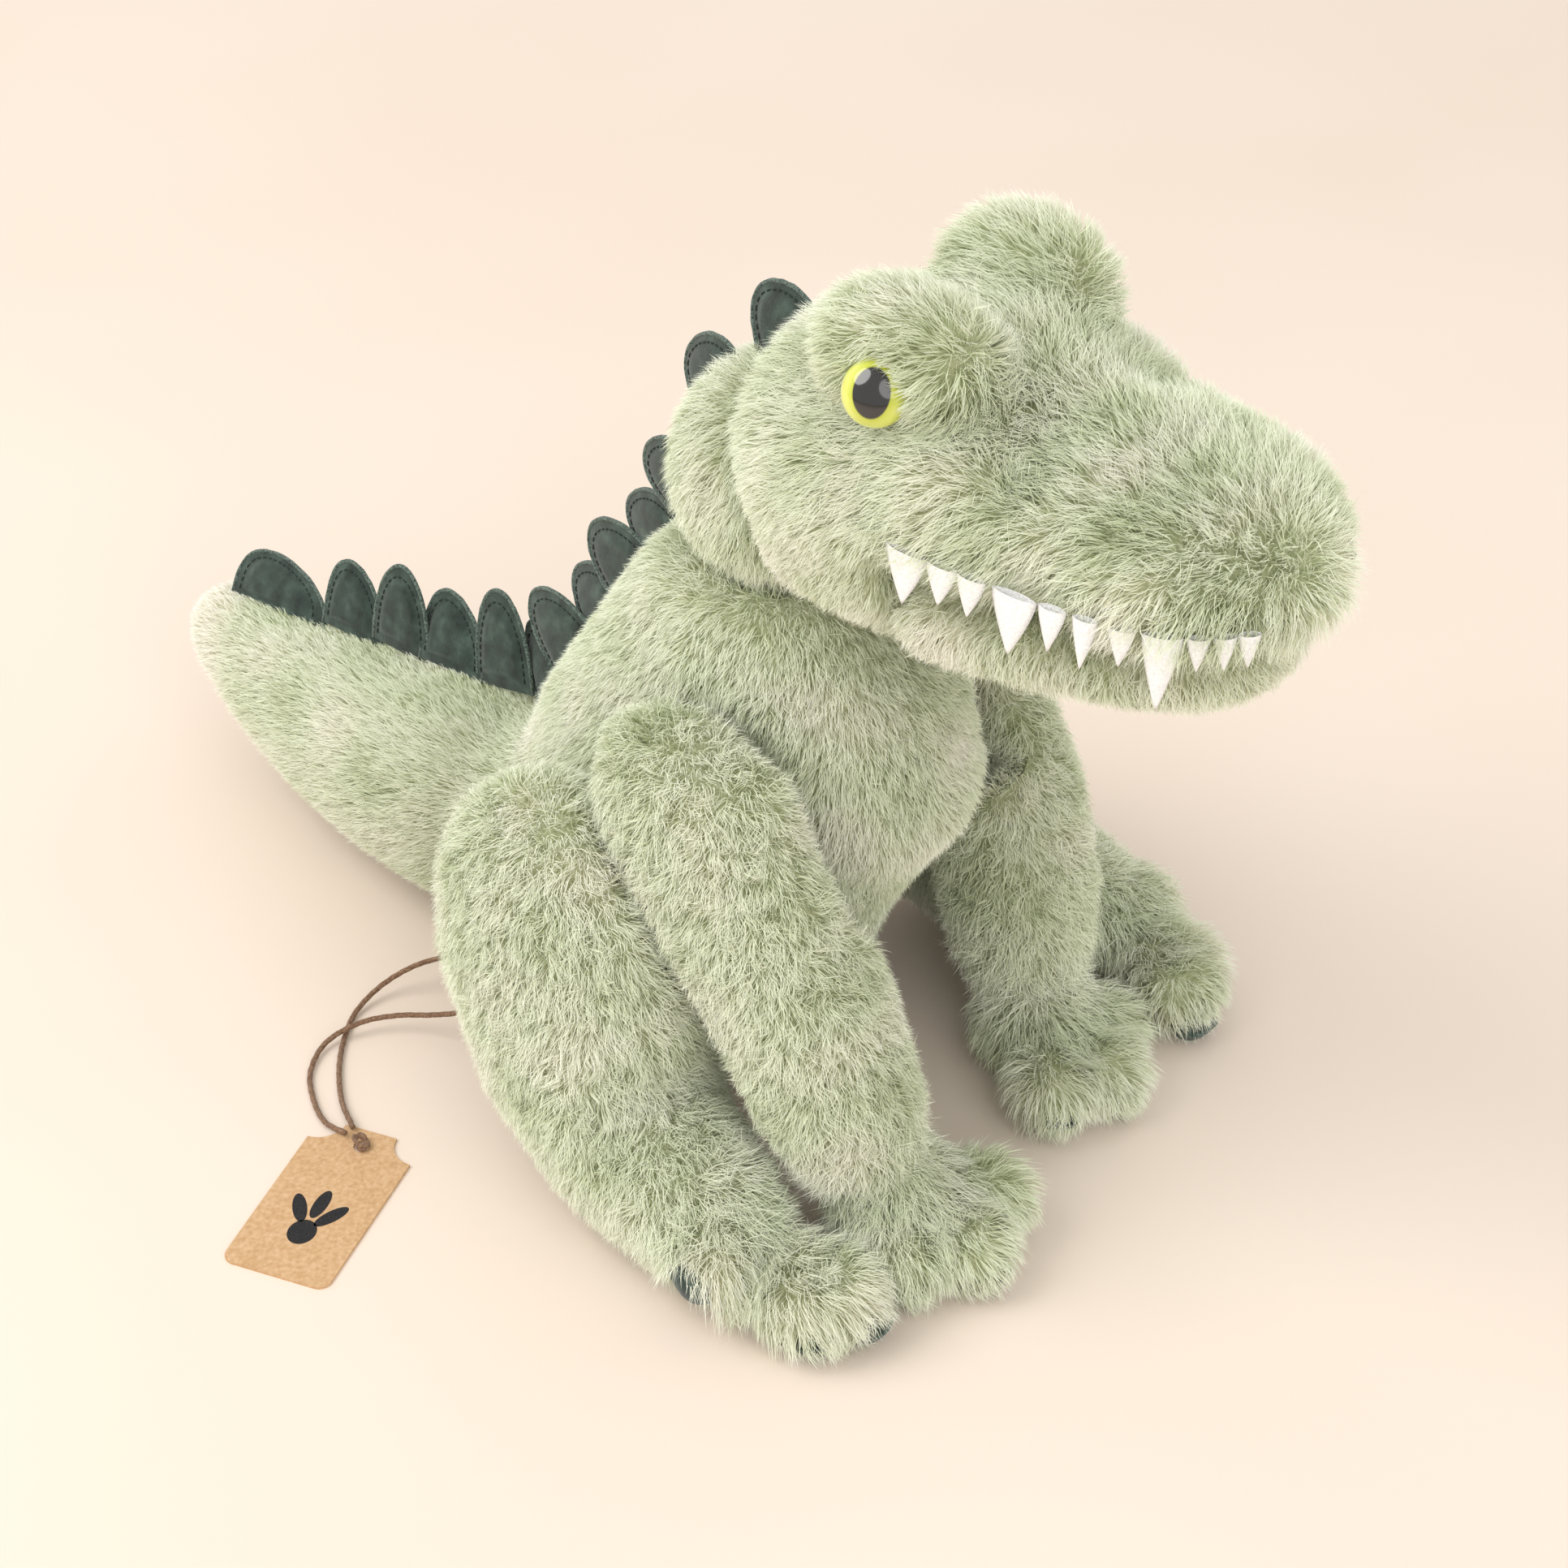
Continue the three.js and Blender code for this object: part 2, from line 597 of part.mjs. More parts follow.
// A leaf-shaped back spike, standing on the spine of its carrier and leaning to one side.
function addSpike(name, [carrier, y, drawnZ, aim, base, height, lean]) {
  const z = SPIKE_HEIGHTS[carrier](drawnZ);
  const half = base / 2;
  const leaf = new THREE.Shape();
  leaf.moveTo(-half, -BURIED);
  leaf.lineTo(half, -BURIED);
  leaf.quadraticCurveTo(half, height * 0.7, half * 0.35, height);
  leaf.quadraticCurveTo(-half * 0.55, height * 0.9, -half, -BURIED);
  const geometry = new THREE.ExtrudeGeometry(leaf, {
    depth: SPIKE_THICKNESS,
    bevelEnabled: false,
    curveSegments: 4,
  });
  geometry.translate(0, 0, -SPIKE_THICKNESS / 2);
  geometry.rotateX(radians(lean));
  const outwards = new THREE.Vector3(0, Math.cos(radians(aim)), Math.sin(radians(aim)));
  const sideways = new THREE.Vector3(1, 0, 0);
  const backwards = new THREE.Vector3().crossVectors(outwards, sideways);
  geometry.applyMatrix4(new THREE.Matrix4().makeBasis(backwards, outwards, sideways));
  const trimmed = toSolid(geometry.translate(0, y, z)).subtract(trimmers[carrier]);
  add(name, carrier === "neck" ? trimmed : trimmed.subtract(neckRoom), SUEDE, 0.9);
}

// The card tag lies on the floor, its hole towards the toy.
function addTag() {
  const half = TAG.width / 2;
  const end = TAG.length / 2;
  const quarter = Math.PI / 2;
  const card = new THREE.Shape();
  card.absarc(TAG.corner - end, TAG.corner - half, TAG.corner, -2 * quarter, -quarter);
  card.absarc(end, -half, TAG.shoulder, 2 * quarter, quarter, true);
  card.absarc(end, half, TAG.shoulder, -quarter, -2 * quarter, true);
  card.absarc(TAG.corner - end, half - TAG.corner, TAG.corner, quarter, 2 * quarter);
  const hole = [end - TAG.holeInset, 0];
  card.holes.push(new THREE.Path(circle(TAG.hole, TAG_HOLE_SIDES, hole)));
  const settings = { depth: TAG.thickness, bevelEnabled: false, curveSegments: TAG_CURVE_STEPS };
  const plate = new THREE.ExtrudeGeometry(card, settings).rotateZ(radians(TAG.turn));
  add("hang_tag", toSolid(plate.translate(...TAG.centre, 0)), KRAFT, 0.9);
}

// Two strands of one twine loop run from the hip seam to the knot on the tag.
function addTwine() {
  for (const [name, points] of Object.entries(TWINE_ROUTES)) {
    const route = new THREE.CatmullRomCurve3(points.map(vector));
    const section = new THREE.Shape(circle(TWINE / 2, TWINE_SIDES, [0, 0]));
    const settings = { steps: TWINE_STEPS, extrudePath: route, bevelEnabled: false };
    add(name, toSolid(new THREE.ExtrudeGeometry(section, settings)), JUTE, 0.95);
  }
  const [x, y] = TAG.centre;
  const reach = TAG.length / 2 - TAG.holeInset;
  const tagTurn = radians(TAG.turn);
  const turn = radians(KNOT.turn);
  const direction = new THREE.Vector3(Math.cos(turn), Math.sin(turn), 0);
  const height = TAG.thickness + SEAM_GAP + KNOT.depth / 2;
  const hole = new THREE.Vector3(x + reach * Math.cos(tagTurn), y + reach * Math.sin(tagTurn), height);
  const knot = bean(hole, direction, [KNOT.length, KNOT.width, KNOT.depth]);
  add("twine_knot", knot, JUTE, 0.95);
}

addTorso();
addHead();
addTail();
for (const side of ["r", "l"]) {
  addArm(side);
  addLeg(side);
  addBrow(side);
  addTeeth(side);
}
const counts = {};
for (const spike of SPIKES) {
  const [carrier] = spike;
  counts[carrier] = (counts[carrier] ?? 0) + 1;
  addSpike(carrier + "_spike_" + counts[carrier], spike);
}
addTag();
addTwine();

export default part;
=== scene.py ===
"""A seated stuffed dinosaur: sage green plush, dark suede crest and claws, felt teeth and a card tag."""
import math

import bmesh
import bpy
import numpy as np
from mathutils import Matrix, Vector, kdtree


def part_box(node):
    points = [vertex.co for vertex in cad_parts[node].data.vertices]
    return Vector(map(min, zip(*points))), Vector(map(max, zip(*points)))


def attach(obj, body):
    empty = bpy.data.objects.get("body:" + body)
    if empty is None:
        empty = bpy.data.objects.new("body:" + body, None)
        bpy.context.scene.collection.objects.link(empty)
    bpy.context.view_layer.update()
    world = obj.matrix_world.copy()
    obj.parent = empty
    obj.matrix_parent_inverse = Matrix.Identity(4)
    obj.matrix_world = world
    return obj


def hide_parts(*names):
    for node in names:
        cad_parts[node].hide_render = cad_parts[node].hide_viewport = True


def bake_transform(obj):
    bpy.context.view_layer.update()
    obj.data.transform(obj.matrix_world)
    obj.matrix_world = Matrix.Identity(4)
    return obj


MM = 0.001
SIDES = {"r": -1, "l": 1}


# ---------- camera ----------
VIEW_TARGET = (-0.045, -0.020, 0.150)
VIEW_BACK = (-0.604, -0.507, 0.616)  # from the target towards the camera
VIEW_DISTANCE = 0.900
HALF_VIEW = math.radians(14)


def add_camera():
    data = bpy.data.cameras.new("camera")
    data.lens = data.sensor_width / 2 / math.tan(HALF_VIEW)
    camera = bpy.data.objects.new("camera", data)
    back = Vector(VIEW_BACK).normalized()
    camera.location = Vector(VIEW_TARGET) + back * VIEW_DISTANCE
    camera.rotation_mode = "QUATERNION"
    camera.rotation_quaternion = (-back).to_track_quat("-Z", "Y")
    bpy.context.scene.collection.objects.link(camera)
    bpy.context.scene.camera = camera


# ---------- mesh helpers ----------
def unit(vectors):
    vectors = np.asarray(vectors, float)
    return vectors / np.maximum(np.linalg.norm(vectors, axis=-1, keepdims=True), 1e-12)


def add_object(name, mesh, material):
    piece = bpy.data.objects.new(name, mesh)
    mesh.materials.clear()
    mesh.materials.append(material)
    bpy.context.scene.collection.objects.link(piece)
    return piece


def shade_smooth(mesh):
    mesh.polygons.foreach_set("use_smooth", [True] * len(mesh.polygons))
    mesh.update()


def mesh_from(name, vertices, faces):
    mesh = bpy.data.meshes.new(name)
    mesh.from_pydata(np.asarray(vertices, float).tolist(), [], [tuple(map(int, face)) for face in faces])
    shade_smooth(mesh)
    return mesh


def grid_faces(rows, columns, closed=True):
    """Quads between rows of points, round to the first point where the rows are closed."""
    faces = []
    for row in range(rows - 1):
        for column in range(columns if closed else columns - 1):
            following = (column + 1) % columns
            low, high = row * columns, (row + 1) * columns
            faces.append((low + column, low + following, high + following, high + column))
    return faces


def points_of(mesh):
    points = np.empty(len(mesh.vertices) * 3)
    mesh.vertices.foreach_get("co", points)
    return points.reshape(-1, 3)


def set_points(mesh, points):
    mesh.vertices.foreach_set("co", np.ascontiguousarray(points, np.float32).ravel())
    mesh.update()


def normals_of(mesh):
    normals = np.empty(len(mesh.vertices) * 3, np.float32)
    mesh.vertex_normals.foreach_get("vector", normals)
    return normals.reshape(-1, 3).astype(float)


def bake_down(piece):
    """Applies the modifiers of a piece to its mesh."""
    graph = bpy.context.evaluated_depsgraph_get()
    mesh = bpy.data.meshes.new_from_object(piece.evaluated_get(graph))
    piece.modifiers.clear()
    piece.data = mesh
    return piece


def ripple(points, wavelength, seed, waves=7):
    """Smooth random values of about -1 to 1 at points in space."""
    rng = np.random.default_rng(seed)
    directions = unit(rng.normal(size=(waves, 3))) * rng.uniform(0.7, 1.5, (waves, 1))
    phases = rng.uniform(0, 2 * math.pi, waves)
    return np.sin(points @ directions.T * (2 * math.pi / wavelength) + phases).sum(1) / math.sqrt(waves)


def near(points, centre, radius):
    """1 at a centre, falling smoothly to 0 at a radius."""
    share = np.clip(1 - np.linalg.norm(points - np.asarray(centre), axis=1) / radius, 0, 1)
    return share * share * (3 - 2 * share)


def ramp(values, low, high):
    share = np.clip((values - low) / (high - low), 0, 1)
    return share * share * (3 - 2 * share)


# ---------- materials ----------
def srgb(red, green, blue):
    """Linear colour of an 8-bit display colour."""
    def linear(value):
        value /= 255
        return value / 12.92 if value <= 0.04045 else ((value + 0.055) / 1.055) ** 2.4
    return (linear(red), linear(green), linear(blue), 1)


class Nodes:
    """Short ways to add and join the nodes of one material."""

    def __init__(self, name, roughness, sheen=0.0, specular=0.3):
        self.material = bpy.data.materials.new(name)
        self.material.use_nodes = True
        self.tree = self.material.node_tree
        self.shader = self.tree.nodes["Principled BSDF"]
        self.shader.inputs["Roughness"].default_value = roughness
        self.shader.inputs["Sheen Weight"].default_value = sheen
        self.shader.inputs["Sheen Roughness"].default_value = 0.5
        self.shader.inputs["Specular IOR Level"].default_value = specular

    def add(self, kind, **values):
        node = self.tree.nodes.new(kind)
        for name, value in values.items():
            setattr(node, name, value)
        return node

    def join(self, source, target):
        self.tree.links.new(source, target)

    def noise(self, scale, detail):
        """Mottling that is fixed to the piece."""
        node = self.add("ShaderNodeTexNoise")
        node.inputs["Scale"].default_value = scale
        node.inputs["Detail"].default_value = detail
        self.join(self.add("ShaderNodeTexCoord").outputs["Object"], node.inputs["Vector"])
        return node.outputs["Fac"]

    def chart(self):
        """Places on the piece's own texture map."""
        return self.add("ShaderNodeUVMap", uv_map=PALETTE).outputs["UV"]

    def vector_math(self, operation, source, values):
        node = self.add("ShaderNodeVectorMath", operation=operation)
        self.join(source, node.inputs[0])
        node.inputs[1].default_value = values
        return node.outputs[0]

    def colours(self, source, stops):
        """A colour ramp over a value, from (position, colour) stops."""
        node = self.add("ShaderNodeValToRGB")
        node.color_ramp.elements[0].position, node.color_ramp.elements[0].color = stops[0]
        node.color_ramp.elements[1].position, node.color_ramp.elements[1].color = stops[-1]
        for position, colour in stops[1:-1]:
            node.color_ramp.elements.new(position).color = colour
        self.join(source, node.inputs["Fac"])
        return node.outputs["Color"]

    def mix(self, share, first, second):
        node = self.add("ShaderNodeMix", data_type="RGBA")
        self.join(share, node.inputs["Factor"])
        self.join(first, node.inputs[6])
        self.join(second, node.inputs[7])
        return node.outputs[2]

    def bump(self, source, distance, strength=1.0):
        node = self.add("ShaderNodeBump")
        node.inputs["Strength"].default_value = strength
        node.inputs["Distance"].default_value = distance
        self.join(source, node.inputs["Height"])
        self.join(node.outputs["Normal"], self.shader.inputs["Normal"])

    def paint(self, colour):
        self.join(colour, self.shader.inputs["Base Color"])


PALETTE = "OFBake"  # texture map: a strand's tone and root to tip, or an eye's face


def make_fur_material(name, roots, tips):
    nodes = Nodes(name, roughness=0.75, sheen=0.25, specular=0.2)
    across_along = nodes.add("ShaderNodeSeparateXYZ")
    nodes.join(nodes.chart(), across_along.inputs[0])
    tone, along = across_along.outputs["X"], across_along.outputs["Y"]
    root_colour = nodes.colours(tone, roots)
    tip_colour = nodes.colours(tone, tips)
    share = nodes.colours(along, [(0.05, (0, 0, 0, 1)), (0.85, (1, 1, 1, 1))])
    nodes.paint(nodes.mix(share, root_colour, tip_colour))
    return nodes.material


def make_backing_material():
    """The knitted backing that shows between the roots of the pile."""
    nodes = Nodes("pile_backing", roughness=0.95, sheen=0.2, specular=0.1)
    patches = nodes.noise(60, 3)
    nodes.paint(nodes.colours(patches, [(0.3, srgb(168, 172, 134)), (0.7, srgb(196, 201, 166))]))
    nodes.bump(nodes.noise(900, 2), 0.0008)
    return nodes.material


def make_suede_material():
    nodes = Nodes("suede", roughness=0.9, sheen=0.35, specular=0.15)
    wear = [(0.3, srgb(34, 44, 40)), (0.52, srgb(52, 68, 61)), (0.75, srgb(78, 96, 87))]
    nodes.paint(nodes.colours(nodes.noise(160, 5), wear))
    nodes.bump(nodes.noise(2600, 3), 0.0003, 0.8)
    return nodes.material


def make_knit_rim_material():
    """The overlocked edge of the suede, with its whipped thread."""
    nodes = Nodes("overlock_thread", roughness=0.95, sheen=0.3, specular=0.1)
    thread = nodes.noise(1500, 2)
    nodes.paint(nodes.colours(thread, [(0.35, srgb(54, 68, 62)), (0.65, srgb(112, 130, 120))]))
    nodes.bump(thread, 0.0006)
    return nodes.material


def make_felt_material():
    nodes = Nodes("white_felt", roughness=0.95, sheen=0.3, specular=0.15)
    fibres = nodes.noise(1300, 4)
    nodes.paint(nodes.colours(fibres, [(0.3, srgb(232, 233, 232)), (0.65, srgb(252, 252, 252))]))
    nodes.bump(fibres, 0.0004)
    return nodes.material


def make_card_material():
    nodes = Nodes("kraft_card", roughness=0.85, specular=0.25)
    fibres = nodes.noise(700, 6)
    browns = [(0.3, srgb(196, 156, 114)), (0.5, srgb(208, 171, 130)), (0.7, srgb(218, 184, 146))]
    nodes.paint(nodes.colours(fibres, browns))
    nodes.bump(fibres, 0.0001)
    return nodes.material


def make_ink_material():
    nodes = Nodes("black_ink", roughness=0.6, specular=0.3)
    speckle = nodes.noise(1800, 3)
    nodes.paint(nodes.colours(speckle, [(0.35, srgb(26, 26, 30)), (0.75, srgb(52, 50, 52))]))
    return nodes.material


def make_twine_material():
    nodes = Nodes("jute_twine", roughness=0.9, sheen=0.2, specular=0.15)
    fibres = nodes.noise(1400, 4)
    browns = [(0.3, srgb(104, 78, 60)), (0.55, srgb(140, 110, 88)), (0.8, srgb(172, 144, 118))]
    nodes.paint(nodes.colours(fibres, browns))
    nodes.bump(fibres, 0.0003)
    return nodes.material


def make_thread_material():
    nodes = Nodes("sewing_thread", roughness=0.7, specular=0.3)
    fibres = nodes.noise(3000, 2)
    nodes.paint(nodes.colours(fibres, [(0.3, srgb(24, 32, 29)), (0.7, srgb(52, 64, 58))]))
    return nodes.material


PUPIL = {"half_width": 0.27, "half_height": 0.36}  # shares of the eye's face map


def make_eye_material():
    """Painted plastic under a clear dome: an upright oval pupil in a yellow-green iris."""
    nodes = Nodes("eye_plastic", roughness=0.12, specular=0.6)
    nodes.shader.inputs["Coat Weight"].default_value = 1.0
    nodes.shader.inputs["Coat Roughness"].default_value = 0.03
    centred = nodes.vector_math("SUBTRACT", nodes.chart(), (0.5, 0.5, 0))
    oval = nodes.vector_math("MULTIPLY", centred, (1 / PUPIL["half_width"], 1 / PUPIL["half_height"], 0))
    reach = nodes.add("ShaderNodeVectorMath", operation="LENGTH")
    nodes.join(oval, reach.inputs[0])
    iris = [(0.0, srgb(12, 12, 14)), (0.485, srgb(14, 14, 14)), (0.52, srgb(196, 204, 60)),
            (0.70, srgb(226, 232, 110)), (0.95, srgb(206, 214, 84)), (1.0, srgb(150, 160, 60))]
    halved = nodes.add("ShaderNodeMath", operation="MULTIPLY")
    nodes.join(reach.outputs["Value"], halved.inputs[0])
    halved.inputs[1].default_value = 0.5
    nodes.paint(nodes.colours(halved.outputs[0], iris))
    return nodes.material


def make_floor_material():
    nodes = Nodes("studio_floor", roughness=0.9, specular=0.1)
    nodes.paint(nodes.colours(nodes.noise(3, 2), [(0.3, srgb(237, 221, 207)), (0.7, srgb(240, 226, 213))]))
    return nodes.material


# ---------- stuffed skins ----------
SKIN_VOXEL = 0.004
CLOTH_FRAMES = 20
CLOTH_PRESSURE = 4.0
CLOTH_QUALITY = 4
CLOTH_CAP = 0.005  # how far the fabric of a full piece may swell
FLOOR_CLEARANCE = 0.0006


def solid_skin(name, nodes, material, inset, smoothing, bridges=()):
    """One closed skin round CAD solids, rounded and moved inwards to leave room for the pile.

    A bridge is an ellipsoid (centre, half sizes) that carries the skin across a gap between solids.
    """
    build = bmesh.new()
    for node in nodes:
        build.from_mesh(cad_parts[node].data)
    for centre, half_sizes in bridges:
        place = Matrix.Translation(centre) @ Matrix.Diagonal((*half_sizes, 1))
        bmesh.ops.create_uvsphere(build, u_segments=24, v_segments=16, radius=1, matrix=place)
    mesh = bpy.data.meshes.new(name)
    build.to_mesh(mesh)
    build.free()
    piece = add_object(name, mesh, material)
    remesh = piece.modifiers.new("remesh", "REMESH")
    remesh.mode = "VOXEL"
    remesh.voxel_size = SKIN_VOXEL
    bake_down(piece)
    keep_outer_shell(piece.data)
    round_off(piece, smoothing)
    set_points(piece.data, points_of(piece.data) - normals_of(piece.data) * inset)
    return piece


def keep_outer_shell(mesh):
    """Removes the closed shells that the remesh leaves inside the largest one."""
    build = bmesh.new()
    build.from_mesh(mesh)
    unseen = set(build.verts)
    shells = []
    while unseen:
        front = [unseen.pop()]
        shell = list(front)
        while front:
            for edge in front.pop().link_edges:
                for vertex in edge.verts:
                    if vertex in unseen:
                        unseen.remove(vertex)
                        front.append(vertex)
                        shell.append(vertex)
        shells.append(shell)
    shells.sort(key=len)
    for shell in shells[:-1]:
        bmesh.ops.delete(build, geom=shell, context="VERTS")
    build.to_mesh(mesh)
    build.free()
    shade_smooth(mesh)


def round_off(piece, repeats):
    smooth = piece.modifiers.new("smooth", "SMOOTH")
    smooth.factor = 0.5
    smooth.iterations = repeats
    bake_down(piece)


def stuff(piece, fill):
    """Swells the fabric under the pressure of its filling, no further than the cap."""
    rest = points_of(piece.data)
    cloth = piece.modifiers.new("cloth", "CLOTH")
    cloth.settings.use_pressure = True
    cloth.settings.uniform_pressure_force = CLOTH_PRESSURE
    cloth.settings.effector_weights.gravity = 0
    cloth.settings.quality = CLOTH_QUALITY
    cloth.point_cache.frame_start = 1
    cloth.point_cache.frame_end = CLOTH_FRAMES
    for moment in range(1, CLOTH_FRAMES + 1):
        bpy.context.scene.frame_set(moment)
    bake_down(piece)
    bpy.context.scene.frame_set(1)
    moved = points_of(piece.data) - rest
    reach = np.linalg.norm(moved, axis=1, keepdims=True)
    moved *= np.minimum(1, CLOTH_CAP * fill / np.maximum(reach, 1e-9))
    set_points(piece.data, rest + moved)


def swell(piece, mounds):
    """Pushes the surface out in mounds (centre, radius, height), or in where the height is negative."""
    for centre, radius, height in mounds:
        points = points_of(piece.data)
        moved = points + normals_of(piece.data) * (height * near(points, centre, radius))[:, None]
        moved[:, 2] = np.maximum(moved[:, 2], np.minimum(points[:, 2], FLOOR_CLEARANCE))
        set_points(piece.data, moved)


# ---------- pile ----------
class Pile:
    """The look of the pile on one piece of fabric. Lengths in metres, strands per square millimetre."""

    def __init__(self, length, comb, lay=0.9, density=2.0, width=0.00034, clump=0.3, droop=0.0,
                 stray=0.45, tone=0.5, tone_at=None, length_at=None, keep_at=None, segments=2):
        self.length, self.comb, self.lay, self.density, self.width = length, comb, lay, density, width
        self.clump, self.droop, self.stray, self.tone = clump, droop, stray, tone
        self.tone_at, self.length_at, self.keep_at, self.segments = tone_at, length_at, keep_at, segments


CLUMP_STRANDS = 18  # strands drawn together into one tuft
TUFT_CURVE = 1.3
TONE_PATCH = 0.035
TONE_RIPPLE = 0.15
TONE_SCATTER = 0.07
LENGTHS, ANGLES, WIDTHS = (0.75, 1.2), (0.75, 1.15), (0.7, 1.2)  # shares of a pile's own value
ROOT_LEAN = 0.55
LEAN_GROWTH = 0.75
ROLL = 0.6  # how far strands turn about their own length, in radians


def scatter(mesh, count, rng):
    """Random points, spread evenly over a mesh, with the surface's smooth normals there."""
    mesh.calc_loop_triangles()
    corners = np.empty(len(mesh.loop_triangles) * 3, np.int32)
    mesh.loop_triangles.foreach_get("vertices", corners)
    corners = corners.reshape(-1, 3)
    points, normals = points_of(mesh), normals_of(mesh)
    a, b, c = (points[corners[:, i]] for i in range(3))
    areas = np.linalg.norm(np.cross(b - a, c - a), axis=1) / 2
    chosen = rng.choice(len(corners), count, p=areas / areas.sum())
    first, second = rng.random((2, count))
    flip = first + second > 1
    first[flip], second[flip] = 1 - first[flip], 1 - second[flip]
    weights = np.stack([1 - first - second, first, second], 1)[:, :, None]
    place = (points[corners[chosen]] * weights).sum(1)
    normal = (normals[corners[chosen]] * weights).sum(1)
    return place, unit(normal)


def area_of(mesh):
    return sum(polygon.area for polygon in mesh.polygons)


def strand_spines(roots, normals, pile, rng):
    """Points along each strand, which leaves the skin and lies over the way the pile is combed."""
    combed = pile.comb(roots)
    combed = combed + rng.normal(scale=pile.stray, size=roots.shape)
    flat = unit(combed - (combed * normals).sum(1, keepdims=True) * normals)
    length = pile.length * rng.uniform(*LENGTHS, len(roots))
    if pile.length_at:
        length = length * pile.length_at(roots)
    angle = pile.lay * rng.uniform(*ANGLES, len(roots))
    spine = [roots]
    for step in range(pile.segments):
        lean = angle * (ROOT_LEAN + LEAN_GROWTH * step / (pile.segments - 1))
        heading = normals * np.cos(lean)[:, None] + flat * np.sin(lean)[:, None]
        heading[:, 2] -= pile.droop * (step + 1) / pile.segments
        spine.append(spine[-1] + unit(heading) * (length / pile.segments)[:, None])
    return np.stack(spine, 1)


def draw_together(spines, pile, rng):
    """Bends the strands of each tuft towards the tip of the one in its middle."""
    count = len(spines)
    middles = rng.choice(count, max(count // CLUMP_STRANDS, 1), replace=False)
    tree = kdtree.KDTree(len(middles))
    for index, middle in enumerate(middles):
        tree.insert(spines[middle, 0], index)
    tree.balance()
    nearest = middles[[tree.find(root)[1] for root in spines[:, 0]]]
    share = (np.arange(spines.shape[1]) / (spines.shape[1] - 1)) ** TUFT_CURVE
    pull = pile.clump * rng.uniform(0.6, 1.3, count)[:, None, None] * share[None, :, None]
    return spines + (spines[nearest] - spines) * np.clip(pull, 0, 0.95)


def ribbons(name, spines, normals, width, tones, rng):
    """A mesh of flat tapering strands, turned to face away from the skin."""
    count, points = spines.shape[:2]
    heading = unit(np.gradient(spines, axis=1))
    side = unit(np.cross(heading, normals[:, None, :]))
    roll = rng.normal(scale=ROLL, size=(count, 1, 1))
    side = side * np.cos(roll) + np.cross(heading, side) * np.sin(roll)
    taper = np.linspace(1, 0, points)[:-1] ** 0.5
    half = side[:, :-1] * (width / 2 * rng.uniform(*WIDTHS, (count, 1)) * taper[None, :])[:, :, None]
    left, right = spines[:, :-1] - half, spines[:, :-1] + half
    pairs = np.stack([left, right], 2).reshape(count, -1, 3)
    vertices = np.concatenate([pairs, spines[:, -1:]], 1)
    vertices[:, :, 2] = np.maximum(vertices[:, :, 2], FLOOR_CLEARANCE)
    each = vertices.shape[1]
    quads = [(2 * i, 2 * i + 1, 2 * i + 3, 2 * i + 2) for i in range(points - 2)]
    tip = (2 * points - 4, 2 * points - 3, 2 * points - 2)
    corners = np.array([corner for quad in quads for corner in quad] + list(tip))
    loops = (corners[None, :] + np.arange(count)[:, None] * each).ravel()
    face_sizes = np.tile([4] * len(quads) + [3], count)
    face_starts = np.concatenate([[0], np.cumsum(face_sizes)[:-1]])
    mesh = bpy.data.meshes.new(name)
    mesh.vertices.add(count * each)
    mesh.vertices.foreach_set("co", vertices.astype(np.float32).ravel())
    mesh.loops.add(len(loops))
    mesh.loops.foreach_set("vertex_index", loops.astype(np.int32))
    mesh.polygons.add(len(face_sizes))
    mesh.polygons.foreach_set("loop_start", face_starts.astype(np.int32))
    share = np.minimum(np.arange(each) // 2, points - 1) / (points - 1)
    uv = np.empty((len(loops), 2), np.float32)
    uv[:, 0] = np.repeat(tones, len(corners))
    uv[:, 1] = np.tile(0.02 + 0.96 * share[corners], count)
    mesh.update(calc_edges=True)
    mesh.uv_layers.new(name=PALETTE).data.foreach_set("uv", uv.ravel())
    return mesh


def grow(name, skin, pile, material, seed):
    """The pile of one skin, as its own mesh in the same place."""
    rng = np.random.default_rng(seed)
    share = 1.0
    count = int(area_of(skin.data) / MM ** 2 * pile.density * share)
    roots, normals = scatter(skin.data, count, rng)
    if pile.keep_at:
        kept = rng.random(count) < pile.keep_at(roots)
        roots, normals = roots[kept], normals[kept]
    spines = strand_spines(roots, normals, pile, rng)
    spines = draw_together(spines, pile, rng)
    tones = pile.tone + TONE_RIPPLE * ripple(roots, TONE_PATCH, seed)
    tones = tones + rng.normal(scale=TONE_SCATTER, size=len(roots))
    if pile.tone_at:
        tones = tones + pile.tone_at(roots)
    width = pile.width / math.sqrt(share)
    mesh = ribbons(name, spines, normals, width, np.clip(tones, 0.02, 0.98), rng)
    return add_object(name, mesh, material)


# ---------- suede, felt, plastic, card and twine ----------
LEAF_POINTS = 25
LEAF_RINGS = 9
LEAF_MIDDLE = 0.42  # height of a leaf's centre, as a share of its own
RIM_SIDES = 6
STITCH = {"length": 0.0016, "gap": 0.0010, "radius": 0.00022, "share": 0.80}


def local_frame(outwards, sideways, lean):
    """Rotation whose columns are along a leaf's base, outwards and sideways."""
    outwards, sideways = unit(outwards), unit(sideways)
    along = np.cross(outwards, sideways)
    turn = np.array([
        [1, 0, 0],
        [0, math.cos(lean), -math.sin(lean)],
        [0, math.sin(lean), math.cos(lean)],
    ])
    return np.stack([along, outwards, sideways], 1) @ turn


